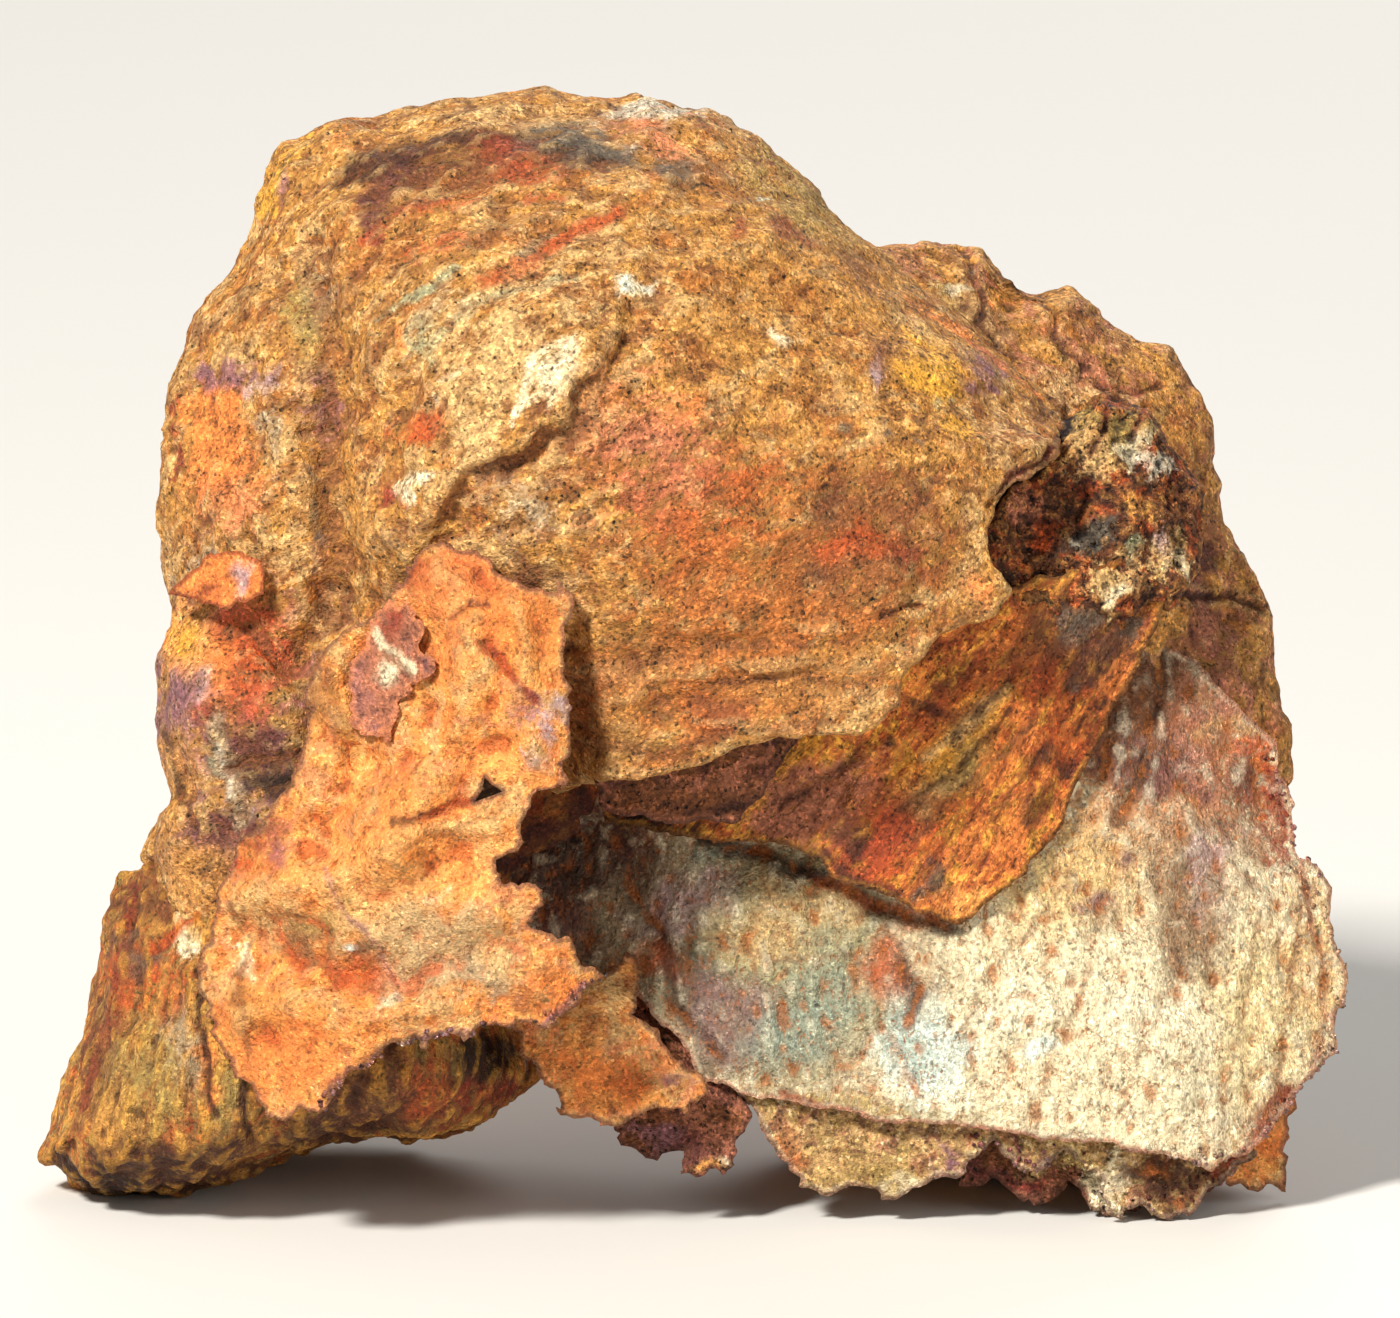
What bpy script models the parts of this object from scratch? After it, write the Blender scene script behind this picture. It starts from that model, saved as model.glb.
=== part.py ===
"""Native copper: crumpled leaves of copper that grew together into one standing mass.

The mass is drawn on its face, in millimetres: u runs to the right, v up and w out towards the
viewer. The face leans back by LEAN, and the mass stands on the low flats of its two feet.
Lumps are closed pebbles that swell inside an outline, and leaves are thin bent sheets cut to one.
All of them run into each other, so they are joined into one solid.
"""

import math

import bmesh
import bpy
import numpy as np
from mathutils import Matrix, Vector
from mathutils.geometry import delaunay_2d_cdt

MM = 0.001
LEAN = math.radians(14)
MIDDLE = (-0.45, 20.15)  # what lies over the origin: along the face, and from its foot backwards
LUMP_SHARP = 4.0  # the higher, the squarer a lump's rim
LUMP_STEP = 5.4  # between points on a lump
LUMP_RINGS = (0.95, 0.86)  # lines of points inside a lump's rim, as shares of its outline
LUMP_RIM = 0.5  # thickness of a lump's edge
LUMP_CELL = 9  # of the crumpling of a lump
LUMP_SWAY = 0.4  # how far crumpling moves a lump's points along the face, as a share of its height
LIP_PROFILE = ((0, 30), (0.6, 25), (0.76, 18), (0.8, 11), (0.86, 6), (0.94, 3.2), (1, 1.6))
LIP_FADES = (8, 14)  # degrees over which a free edge begins at each of its bearings
RIM_STEP = 2.8  # between points along a leaf's edge
RIM_CELL = 3
RIM_TEAR = 0.25
LEAF_STEP = 5.0  # between points inside a leaf
LEAF_CELL = 8
CREASE_STEP = 4.0  # between points along a ledge or a groove
CREASE_GAP = 0.6  # from a ledge or a groove to the points beside it
BACK_LEAF_THICKNESS = 5
BACK_LEAF_STEP = 7
BACK_LEAF_LIFT = 2
BACK_LEAF_SEED = 40
FLOOR_BOX = (180, 120, 30)

# Outlines on the face, clockwise, and heights of the surface above it.

DOME_MIDDLE = (-10, 79)
DOME_OUTLINE = (
    (-55.7, 36.6), (-54.3, 40.6), (-53.1, 42.0), (-54.3, 47.8), (-54.9, 52.2), (-54.8, 56.1),
    (-54.0, 59.9), (-53.8, 63.4), (-54.5, 68.8), (-54.3, 76.1), (-53.0, 83.2), (-51.7, 87.3),
    (-50.8, 90.8), (-49.2, 93.4), (-46.8, 95.6), (-46.0, 98.1), (-44.9, 101.0), (-43.5, 105.5),
    (-42.0, 108.0), (-39.9, 109.0), (-37.7, 110.6), (-33.2, 111.2), (-27.2, 112.7), (-21.8, 113.6),
    (-15.4, 114.3), (-12.2, 113.6), (-8.4, 113.0), (-6.5, 113.4), (-4.6, 112.8), (-2.0, 111.5),
    (0.2, 111.5), (2.4, 110.7), (6.2, 108.5), (8.2, 106.4), (11.7, 103.9), (14.2, 101.0),
    (16.4, 98.8), (20.0, 95.8), (24.0, 92.5), (28.5, 89.0), (33.0, 85.5), (36.8, 82.5),
    (37.5, 80.8), (36.2, 78.0), (34.5, 75.0), (31.0, 73.0), (29.8, 70.8), (29.0, 68.0),
    (29.1, 66.0), (29.4, 64.5), (30.8, 62.4), (30.4, 61.2), (29.6, 59.9), (28.3, 58.9),
    (26.4, 58.8), (24.8, 58.2), (23.3, 57.2), (22.2, 56.0), (20.2, 54.9), (20.0, 53.0),
    (19.7, 51.5), (18.7, 50.7), (17.4, 49.4), (15.8, 48.1), (13.7, 48.0), (11.4, 47.9),
    (9.9, 47.1), (8.0, 47.6), (5.7, 46.7), (2.9, 45.9), (0.6, 44.6), (-2.9, 44.2),
    (-6.7, 43.6), (-9.8, 43.4), (-12.8, 43.2), (-16.0, 42.0), (-20.0, 40.5), (-26.0, 38.5),
    (-32.0, 37.0), (-40.0, 36.0), (-48.0, 35.8),
)
DOME_LEVELS = (
    (-8, 72, 27), (-25, 85, 23), (-38, 100, 13), (-20, 105, 13), (0, 100, 15), (10, 90, 19),
    (22, 80, 20), (33, 79, 14), (25, 66, 21), (15, 58, 23.5), (5, 52, 24), (-5, 50, 22),
    (-14, 48, 20), (-20, 60, 23), (-30, 70, 20), (-36, 76, 14), (-35, 62, 15), (-44, 70, 13),
    (-50, 75, 9), (-38, 50, 14), (-47, 50, 10), (-45, 90, 12), (-8, 110, 8),
)
DOME_BACK = ((-40, 60, -21), (20, 60, -21), (-10, 100, -21))
DOME_LIP = (4, -102)  # bearings from the dome's middle between which its edge is free
HEART_MIDDLE = (-2, 56)
HEART_OUTLINE = (
    (-46, 12), (-50, 30), (-51, 50), (-50, 70), (-47, 88), (-38, 101), (-22, 107), (-4, 105),
    (10, 97), (22, 90), (36, 86), (46, 78), (50, 62), (54, 46), (54, 26), (50, 10), (36, 4),
    (20, 7), (6, 17), (-8, 20), (-22, 16), (-34, 8),
)
HEART_LEVELS = ((-25, 60, 8), (20, 60, 4), (0, 30, -6), (0, 90, 6))
HEART_BACK = ((-30, 30, -28), (-30, 70, -31), (0, 60, -37), (0, 95, -27), (30, 70, -29), (35, 25, -30))
FLANK_MIDDLE = (28, 52)
FLANK_OUTLINE = (
    (10.0, 104.0), (16.4, 98.8), (19.8, 99.1), (23.3, 99.3), (25.5, 98.6), (28.4, 98.3), (29.7, 96.7),
    (30.9, 94.8), (33.5, 93.8), (37.3, 94.0), (39.2, 92.8), (40.5, 91.4), (42.4, 89.8), (45.0, 88.7),
    (47.2, 88.2), (48.2, 86.5), (50.4, 83.3), (51.7, 80.4), (52.1, 76.6), (53.4, 74.3), (52.8, 73.5),
    (53.6, 70.5), (54.9, 67.3), (55.8, 64.5), (56.5, 62.2), (57.3, 60.0), (57.9, 56.4), (58.9, 53.1),
    (60.0, 49.9), (60.2, 47.3), (60.0, 44.4), (59.6, 43.4), (59.6, 36.9), (59.0, 24.0), (57.0, 10.0),
    (50.0, 5.0), (40.0, 3.2), (28.0, 4.0), (18.0, 7.0), (8.0, 15.0), (-2.0, 26.0), (-8.0, 44.0),
    (-6.0, 70.0), (0.0, 92.0),
)
FLANK_LEVELS = (
    (18, 96, -3), (28, 92, -2), (37, 87, -3), (45, 79, -2), (50, 70, -6), (44, 62, 1), (54, 56, -5),
    (50, 45, -3), (58, 46, -8), (38, 72, 5), (35, 50, 2), (20, 40, 2), (30, 20, 0), (50, 20, -4),
    (5, 60, 0),
)
FLANK_BACK = ((20, 50, -28), (50, 60, -24), (45, 20, -28), (25, 90, -20), (10, 15, -28))
HEEL_MIDDLE = (20, 19)
HEEL_OUTLINE = (
    (3, 20), (7, 12), (11, 7), (15, 5), (20, 4.5), (25, 5.5), (31, 7.5), (37, 12), (40, 22), (36, 33), (26, 38),
    (14, 37), (5, 30),
)
HEEL_FRONT = ((12, 10, -12), (28, 10, -12), (20, 24, -12))
HEEL_BACK = ((10, 12, -31), (19, 9, -36), (29, 11, -33), (20, 22, -36), (34, 26, -31), (12, 32, -32))
BLOCK_MIDDLE = (-42, 20)
BLOCK_OUTLINE = (
    (-56.0, 36.0), (-57.8, 34.4), (-60.0, 30.2), (-60.5, 28.0), (-60.8, 24.2), (-61.1, 20.4),
    (-62.9, 15.9), (-64.2, 12.8), (-65.0, 9.6), (-66.0, 6.4), (-64.5, 5.7), (-63.2, 4.5),
    (-61.3, 3.2), (-56.8, 2.8), (-52.7, 2.9), (-48.9, 3.7), (-44.4, 5.1), (-41.5, 6.4),
    (-37.4, 8.0), (-32.0, 8.3), (-26.5, 8.1), (-22.1, 9.9), (-19.3, 11.5), (-16.7, 14.2),
    (-17.5, 20.0), (-22.0, 30.0), (-30.0, 40.0), (-42.0, 44.0), (-52.0, 41.0),
)
BLOCK_LEVELS = (
    (-61, 12, 6), (-58, 28, 3), (-50, 36, 5), (-45, 12, 11), (-35, 12, 12.5), (-26, 14, 12),
    (-19, 15, 7), (-45, 26, 9),
)
BLOCK_BACK = ((-57, 12, -24), (-46, 9, -33), (-33, 14, -33), (-45, 30, -26), (-25, 20, -30))
CHEEK_BACK = ((-50, 30, -16), (-40, 30, -16), (-45, 55, -16))
CHEEK_MIDDLE = (-46, 42)
CHEEK_OUTLINE = (
    (-54.9, 52.2), (-54.3, 47.8), (-53.1, 42.0), (-54.3, 40.6), (-55.5, 37.0), (-55.0, 33.0), (-53.0, 26.0),
    (-45.0, 23.0), (-37.0, 26.0), (-35.0, 36.0), (-35.0, 47.0), (-37.5, 56.0), (-43.0, 61.0), (-50.0, 61.0),
    (-54.6, 57.0),
)
CHEEK_LEVELS = (
    (-52, 52, 8), (-52, 40, 7), (-50, 34, 6.5), (-45, 50, 11), (-44, 38, 10.5), (-39, 44, 12.5),
    (-40, 54, 13), (-45, 30, 8.5),
)
KNOT_BACK = ((30, 60, -6), (48, 60, -6), (40, 80, -6))
KNOT_MIDDLE = (38.5, 65)
KNOT_OUTLINE = (
    (28.5, 64), (29.0, 70), (31, 75), (35, 79), (40, 82.5), (45, 80), (49.0, 75), (50.2, 70), (49.6, 65.5),
    (47.8, 61.8), (45.0, 61.2), (42, 58), (38, 56.8), (33, 58), (30, 61),
)
KNOT_LEVELS = (
    (38, 70, 6.5), (45, 71, 7), (48, 66, 5), (33, 64, 7.5), (34, 70, 5), (41, 63, 8.5), (37, 60, 8),
    (38, 78, 9), (45, 77, 5.5), (32, 74, 9.5),
)

RIGHT_LEAF = (
    (-24, 44), (-8, 47), (10, 50), (26, 56), (40, 60), (50, 56), (57.5, 48), (59.3, 42), (59.8, 36.6),
    (60.9, 36.5), (62.5, 34.9), (63.3, 32.6), (63.3, 29.4), (64.1, 26.8), (65.1, 24.2), (64.9, 21.6),
    (64.0, 20.8), (63.6, 18.6), (63.8, 17.0), (61.8, 15.1), (59.7, 12.8), (57.5, 9.5), (55.0, 7.0),
    (51.0, 5.0), (48.0, 5.7), (45.0, 6.5), (41.0, 7.4), (36.0, 8.0), (30.0, 8.8), (23.0, 9.5),
    (18.0, 9.9), (14.0, 10.7), (9.0, 11.7), (4.0, 12.7), (0.5, 14.0), (-6, 22), (-14, 22), (-26, 26),
)
RIGHT_LEVELS = (
    (-1, 37, 3.0), (13, 34, 4.5), (23, 30, 5.5), (35, 36, 3.5), (45, 52, -0.5), (57, 47, -6.5),
    (56, 32, -1.5), (64, 24, -5), (30, 17, 7), (50, 17, 3), (59, 12, -1.5), (40, 8, 5.5), (15, 11, 4.5),
    (1, 13.5, 3.5), (-6, 24, 2), (-14, 32, -1.5), (-20, 40, -2.5), (-25, 30, -3.5),
)
RIM_LEAF = (
    (2, 16), (6.5, 8.6), (7.2, 7.3), (8.2, 5.7), (9.8, 4.5), (11.3, 3.0), (13.3, 2.3), (15.5, 2.9),
    (17.4, 2.1), (19.6, 2.1), (21.2, 2.9), (22.2, 3.8), (26.1, 4.8), (27.4, 6.0), (28.0, 7.3),
    (29.3, 7.6), (30.6, 6.6), (31.6, 5.3), (33.2, 4.8), (34.5, 5.1), (36.5, 6.9), (38.4, 5.0),
    (39.7, 4.0), (40.4, 2.0), (41.2, 0.1), (42.2, 0.0), (43.6, 1.5), (45, 0.9), (46.9, 0.6),
    (50.1, 1.4), (51.1, 2.7), (55, 6), (50, 14), (30, 16),
)
RIM_LEVELS = ((5, 10, 2.2), (20, 6, 2.4), (30, 10, 4.2), (42, 3, 1.2), (50, 8, 0.6), (30, 15, 4.0))
BACK_RIM = (
    (24, 12), (26.4, 4.6), (27.0, 3.3), (29.6, 3.5), (31.9, 1.6), (34.5, 2.0), (36.5, 3.8), (37.8, 2.7),
    (39.5, 1.4), (41.2, 0.6), (50, 2.0), (57, 9), (50, 16), (34, 16),
)
BACK_RIM_LEVELS = ((28, 5, -0.8), (40, 3, -1.0), (50, 8, -3.0), (30, 12, 0.5))
CORNER_LEAF = ((50, 16), (52, 4.6), (53.4, 3.5), (58.3, 3.5), (58.4, 5.6), (59.2, 9.5), (60, 14), (58, 24))
CORNER_LEVELS = ((55, 6, -6), (58, 12, -8), (52, 14, -5))
UNDER_LIP = (
    (-11, 46), (-9.4, 40.6), (-6.3, 39.8), (-3, 39.4), (0.2, 39.7), (3.8, 39.6), (5.5, 41.5), (7.6, 44.0),
    (10, 48), (0, 51), (-10, 49),
)
UNDER_LIP_LEVELS = ((-9, 43, 15), (-3, 40, 14.5), (4, 40, 14), (8, 46, 15), (-5, 48, 15.5))
TONGUE = (
    (-10, 44), (-9.6, 39.6), (-3, 38.2), (-0.5, 37.7), (3.1, 37.5), (5.6, 37.7), (8.2, 37.4), (11.0, 36.0),
    (13.3, 34.0), (17.4, 32.4), (20.3, 31.2), (22.8, 30.1), (24.8, 29.7), (27.4, 30.0), (28.0, 31.0),
    (32.5, 34.6), (35.5, 38.5), (39.0, 46.0), (42.0, 52.0), (45.0, 58.0), (46.5, 63.0), (42.0, 66.0),
    (28.0, 62.0), (14.0, 56.0), (0.0, 52.0),
)
TONGUE_LEVELS = (
    (-8, 42, 6), (0, 39, 8), (10, 38, 10), (22, 32, 9.5), (30, 35, 6.5), (39, 47, 3.5), (45, 60, 4),
    (20, 50, 12.5), (10, 45, 12), (30, 48, 10), (35, 58, 8.5),
)
FRONT_LEAF = (
    (-26.4, 67.0), (-28.4, 64.3), (-30.4, 62.4), (-31.6, 60.8), (-33.7, 58.8), (-36.2, 57.1),
    (-37.7, 55.2), (-38.8, 52.1), (-39.1, 48.9), (-38.9, 46.4), (-39.8, 44.1), (-42.0, 41.0),
    (-45.2, 37.0), (-47.5, 33.0), (-48.6, 28.0), (-49.5, 24.2), (-48.9, 21.7), (-48.5, 18.5),
    (-46.3, 15.9), (-45.0, 12.7), (-43.4, 11.2), (-41.8, 10.4), (-38.0, 10.5), (-37.1, 12.1),
    (-36.1, 13.7), (-33.6, 15.0), (-32.0, 16.3), (-30.4, 17.5), (-28.1, 17.9), (-26.5, 17.5),
    (-25.6, 18.5), (-23.4, 17.9), (-22.1, 18.2), (-21.1, 18.5), (-20.0, 19.6), (-17.7, 20.0),
    (-15.5, 19.0), (-14.2, 19.8), (-12.9, 20.9), (-11.8, 22.4), (-11.2, 23.0), (-9.2, 24.1),
    (-10.3, 25.0), (-11.7, 25.3), (-12.7, 27.2), (-14.4, 28.1), (-15.3, 28.0), (-16.8, 29.1),
    (-16.2, 30.0), (-15.3, 30.9), (-15.5, 32.0), (-16.4, 32.8), (-17.9, 32.9), (-19.6, 33.2),
    (-20.7, 34.5), (-19.2, 36.3), (-17.8, 37.6), (-18.2, 38.8), (-17.4, 39.6), (-17.1, 41.0),
    (-16.4, 41.7), (-14.9, 42.2), (-13.6, 42.5), (-12.9, 44.5), (-12.7, 46.1), (-12.7, 48.0),
    (-13.0, 50.0), (-13.2, 54.0), (-13.2, 59.3), (-12.7, 61.6), (-13.8, 62.7), (-15.9, 62.4),
    (-17.2, 62.5), (-18.2, 63.2), (-19.5, 64.1), (-22.0, 65.8), (-24.7, 66.7),
)
FRONT_LEVELS = (
    (-26.5, 67, 21.6), (-30, 62, 20.8), (-12.8, 62.2, 27.2), (-13, 52, 26.8), (-13, 43.5, 25.6),
    (-20.5, 35, 24.3), (-15.5, 31, 24.6), (-9.5, 24, 20.5), (-20, 19.5, 20.8), (-27, 17.8, 20),
    (-37, 12.5, 17.2), (-42, 10.6, 14.4), (-48.5, 20, 10.2), (-48.5, 29, 10.0), (-45, 36, 12.2),
    (-39, 46, 15.4), (-38.5, 54, 15.2), (-27, 42, 22.6), (-26, 29, 22.8), (-24, 55, 24.2),
)
FRONT_HOLE = ((-22.2, 41.2), (-21.4, 42.4), (-21.2, 43.6), (-20.5, 42.9), (-19.4, 42.2), (-20.4, 41.8))
LOW_FLAP = (
    (-12, 26), (-9.0, 24.6), (-7.0, 26.3), (-5.9, 25.8), (-5.4, 24.0), (-6.4, 20.2), (-4.6, 19.0),
    (-3.1, 17.2), (-1.9, 15.7), (0.7, 13.5), (-0.4, 12.2), (-1.4, 10.9), (-3.6, 11.1), (-5.1, 10.7),
    (-7.3, 10.0), (-9.6, 9.6), (-10.8, 10.0), (-13.3, 10.3), (-14.4, 11.6), (-15.1, 13.1),
    (-16.6, 14.8), (-17.7, 16.5), (-18.5, 19.0), (-17.5, 23.0),
)
LOW_FLAP_LEVELS = ((-17, 17, 8), (-10, 20, 9.5), (-12, 12, 9), (-1, 13, 7.5), (-6, 24, 4.5), (-13, 25, 5))
BROWN_FLAP = (
    (-9.5, 14), (-8.6, 9.2), (-8.1, 7.6), (-6.8, 6.6), (-5.5, 6.0), (-1.9, 6.6), (-1.8, 4.4), (-0.3, 4.7),
    (1.2, 5.5), (2.1, 4.6), (3.1, 5.5), (4.0, 7.2), (4.7, 8.9), (5.1, 10.7), (4.0, 13.0), (2.9, 17.0),
    (-4, 19),
)
BROWN_FLAP_LEVELS = ((-7, 8, 4.2), (2, 6, 3.4), (-2, 14, 3.6), (4, 12, 2.6))
PEEL = (
    (-30.8, 61.5), (-31.6, 59.8), (-33.1, 57.3), (-34.8, 54.2), (-34.9, 52.7), (-34.6, 50.2),
    (-33.3, 48.1), (-32.3, 47.2), (-30.2, 47.0), (-30.0, 48.9), (-29.8, 50.8), (-28.7, 51.5),
    (-28.1, 52.9), (-26.2, 53.6), (-26.8, 54.6), (-26.6, 55.4), (-27.8, 56.1), (-27.4, 58.6), (-28.9, 61.0),
)
PEEL_LEVELS = ((-31, 61, 21.6), (-34.5, 52, 18.6), (-30.5, 47.5, 21.6), (-26.5, 54, 24.6), (-29, 58, 23.2))
SIDE_PLATE = (
    (-53.4, 62.4), (-51.2, 64.0), (-49.1, 65.9), (-48.3, 66.5), (-45.8, 66.2), (-43.5, 65.5), (-43.3, 64.2),
    (-43.5, 62.1), (-44.7, 61.7), (-45.8, 61.8), (-46.6, 60.7), (-48.3, 61.1), (-50.2, 61.6), (-51.6, 62.1),
)
SIDE_PLATE_LEVELS = ((-52, 63, 4.6), (-48, 66, 8.5), (-44, 65, 10.5), (-47, 61, 9.2), (-44, 62, 11.4))
BACK_LEAVES = (  # an outline, and how far the leaf stands off the back of the mass
    (
        ((-42, 84), (-36, 93), (-25, 99), (-12, 103), (-2, 100), (6, 101), (13, 95), (21, 91), (25, 84), (22, 79),
         (25, 74), (18, 70), (14, 64), (8, 66), (3, 61), (-5, 58), (-11, 61), (-17, 57), (-25, 60), (-29, 66),
         (-36, 67), (-39, 75)),
        ((-36, 90, 3), (-10, 101, 3), (15, 93, 2), (24, 80, -1), (10, 65, -3), (-8, 60, -3.5), (-28, 63, -3),
         (-38, 75, -1)),
    ),
    (
        ((-48, 56), (-40, 62), (-28, 59), (-18, 62), (-9, 56), (-5, 49), (-8, 42), (-4, 36), (-9, 29), (-15, 30),
         (-19, 24), (-27, 27), (-33, 22), (-41, 27), (-44, 34), (-50, 38), (-48, 47)),
        ((-45, 57, 3), (-28, 60, 3), (-10, 56, 1), (-5, 38, -2.5), (-18, 26, -3), (-33, 24, -3), (-47, 38, -1.5)),
    ),
    (
        ((6, 60), (14, 64), (25, 67), (33, 64), (42, 66), (49, 59), (47, 52), (51, 45), (46, 38), (49, 31),
         (42, 26), (35, 29), (28, 24), (20, 28), (12, 25), (7, 32), (9, 40), (4, 48)),
        ((10, 61, 3), (25, 66, 3), (42, 64, 2), (50, 45, -2.5), (44, 28, -3), (27, 26, -3.5), (10, 28, -2.5),
         (5, 48, -1)),
    ),
    (
        ((28, 96), (36, 92), (44, 86), (50, 79), (53, 70), (48, 67), (45, 72), (39, 70), (35, 76), (29, 75), (24, 81),
         (27, 88)),
        ((32, 92, 2.5), (46, 83, 1), (50, 70, -2), (38, 72, -2.5), (26, 80, -2)),
    ),
)
LEAVES = (  # name, outline, heights of its front, thickness, seed, roughness and holes
    ("right_leaf", RIGHT_LEAF, RIGHT_LEVELS, 2.4, 21, 0.6),
    ("rim_leaf", RIM_LEAF, RIM_LEVELS, 1.6, 22, 0.4),
    ("back_rim", BACK_RIM, BACK_RIM_LEVELS, 1.4, 23, 0.4),
    ("corner_leaf", CORNER_LEAF, CORNER_LEVELS, 1.8, 24, 0.4),
    ("tongue", TONGUE, TONGUE_LEVELS, 4.5, 25, 0.6),
    ("under_lip", UNDER_LIP, UNDER_LIP_LEVELS, 2.0, 35, 0.4),
    ("front_leaf", FRONT_LEAF, FRONT_LEVELS, 1.3, 26, 0.7, (FRONT_HOLE,)),
    ("low_flap", LOW_FLAP, LOW_FLAP_LEVELS, 1.6, 27, 0.4),
    ("brown_flap", BROWN_FLAP, BROWN_FLAP_LEVELS, 1.4, 28, 0.4),
    ("peel", PEEL, PEEL_LEVELS, 1.2, 29, 0.2),
    ("side_plate", SIDE_PLATE, SIDE_PLATE_LEVELS, 6.0, 30, 0.2),
)
LUMPS = (  # name, outline, middle, heights of its front and back, rim's depth, seed and what else differs
    ("native_copper", HEART_OUTLINE, HEART_MIDDLE, HEART_LEVELS, HEART_BACK, -16, 10,
     {"sharp": 2.6, "rough": 1.6, "step": 8}),
    ("dome", DOME_OUTLINE, DOME_MIDDLE, DOME_LEVELS, DOME_BACK, -6, 13, {"lip": DOME_LIP}),
    ("flank", FLANK_OUTLINE, FLANK_MIDDLE, FLANK_LEVELS, FLANK_BACK, -14, 16, {"step": 8}),
    ("block", BLOCK_OUTLINE, BLOCK_MIDDLE, BLOCK_LEVELS, BLOCK_BACK, -11, 19,
     {"sharp": 5.0, "rough": 0.7, "step": 6}),
    ("heel", HEEL_OUTLINE, HEEL_MIDDLE, HEEL_FRONT, HEEL_BACK, -24, 36, {"step": 6}),
    ("cheek", CHEEK_OUTLINE, CHEEK_MIDDLE, CHEEK_LEVELS, CHEEK_BACK, -6, 31, {"sharp": 6.0, "rough": 0.8}),
    ("knot", KNOT_OUTLINE, KNOT_MIDDLE, KNOT_LEVELS, KNOT_BACK, 1, 34, {"sharp": 5.0, "rough": 1.4, "step": 4}),
)
BROAD_LUMPS = LUMPS[:4]  # what the back of the mass is made of
VALLEY = ((-38, 94), (-36.5, 84), (-36, 74), (-35, 64), (-37, 56))
SHELF = ((-8.3, 87.5), (-9.7, 83.5), (-12.5, 81.5), (-13, 78.5), (-18, 75.5), (-23, 74), (-25.5, 69))
TOP_TROUGH = ((-38, 104), (-30, 105), (-20, 103.5), (-14, 100))
BROW = ((6, 98), (14, 92), (21, 87), (29, 83))
WRINKLES = (((-9, 54), (-1, 56.5), (7, 57)), ((-4, 51), (3, 52.5), (10, 53)))

COPPER = (0.55, 0.27, 0.12, 1.0)


def value_noise(places, seed):
    """Smooth noise from -1 to 1, with one value to a unit cell."""
    low = np.floor(places).astype(np.int64)
    part = places - low
    part = part * part * (3 - 2 * part)
    total = 0.0
    for corner in range(8):
        shift = np.array([corner & 1, corner >> 1 & 1, corner >> 2 & 1])
        cell = low + shift
        mixed = cell[:, 0] * 374761393 + cell[:, 1] * 668265263 + cell[:, 2] * 2147483647 + seed * 974634777
        mixed = (mixed ^ (mixed >> 13)) * 1274126177 & 0xFFFFFFFF
        value = ((mixed ^ (mixed >> 16)) & 0xFFFF) / 32767.5 - 1
        total = total + value * np.prod(np.where(shift, part, 1 - part), axis=1)
    return total


def crumple(places, cell, size, seed, octaves=2):
    """Noise of a few sizes at once: the largest has this cell and height, each next one half of both."""
    total = np.zeros(len(places))
    for octave in range(octaves):
        total += size / 2**octave * value_noise(places * (2**octave / cell), seed + octave)
    return total


def surface(levels):
    """A smooth surface through a few heights (u, v, w), as a function of u and v."""
    known = np.array(levels, float)

    def pull(a, b):
        square = ((a[:, None, :] - b[None, :, :]) ** 2).sum(2) + 1e-9
        return square * np.log(square)

    def plane(a):
        return np.column_stack([np.ones(len(a)), a])

    count = len(known)
    system = np.zeros((count + 3, count + 3))
    system[:count, :count] = pull(known[:, :2], known[:, :2])
    system[:count, count:] = plane(known[:, :2])
    system[count:, :count] = system[:count, count:].T
    weights = np.linalg.solve(system, np.append(known[:, 2], [0, 0, 0]))
    return lambda at: pull(at, known[:, :2]) @ weights[:count] + plane(at) @ weights[count:]


def from_path(at, path):
    """Distance of each place from a path on the face, and on which side it lies: 1 is left of it."""
    best = np.full(len(at), 1e9)
    side = np.ones(len(at))
    for start, end in zip(path, path[1:]):
        start, along = np.array(start, float), np.subtract(end, start)
        share = np.clip((at - start) @ along / (along @ along), 0, 1)
        gap = at - start - share[:, None] * along
        distance = np.hypot(gap[:, 0], gap[:, 1])
        nearer = distance < best
        best[nearer] = distance[nearer]
        side[nearer] = np.sign(along[0] * gap[nearer, 1] - along[1] * gap[nearer, 0])
    return best, side


def groove(at, path, width, depth):
    return -depth * np.exp(-((from_path(at, path)[0] / width) ** 2))


def shelf(at, path, height, fade):
    """A step that stands up on the right of a path and fades away from it."""
    distance, side = from_path(at, path)
    return height * np.exp(-distance / fade) * (side < 0)


def dome_height(at):
    height = surface(DOME_LEVELS)(at) + groove(at, VALLEY, 4, 2.5)
    height += shelf(at, SHELF, 2.4, 9)
    height += groove(at, TOP_TROUGH, 3, 1.6) + groove(at, BROW, 3, -1.6)
    for path in WRINKLES:
        height += groove(at, path, 1.6, 0.9)
    return height


def inside(at, outline):
    """Whether each place lies within an outline."""
    found = np.zeros(len(at), bool)
    for (u0, v0), (u1, v1) in zip(outline, np.roll(outline, -1, axis=0)):
        crosses = (v0 > at[:, 1]) != (v1 > at[:, 1])
        found ^= crosses & (at[:, 0] < (u1 - u0) * (at[:, 1] - v0) / (v1 - v0 + 1e-12) + u0)
    return found


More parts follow.
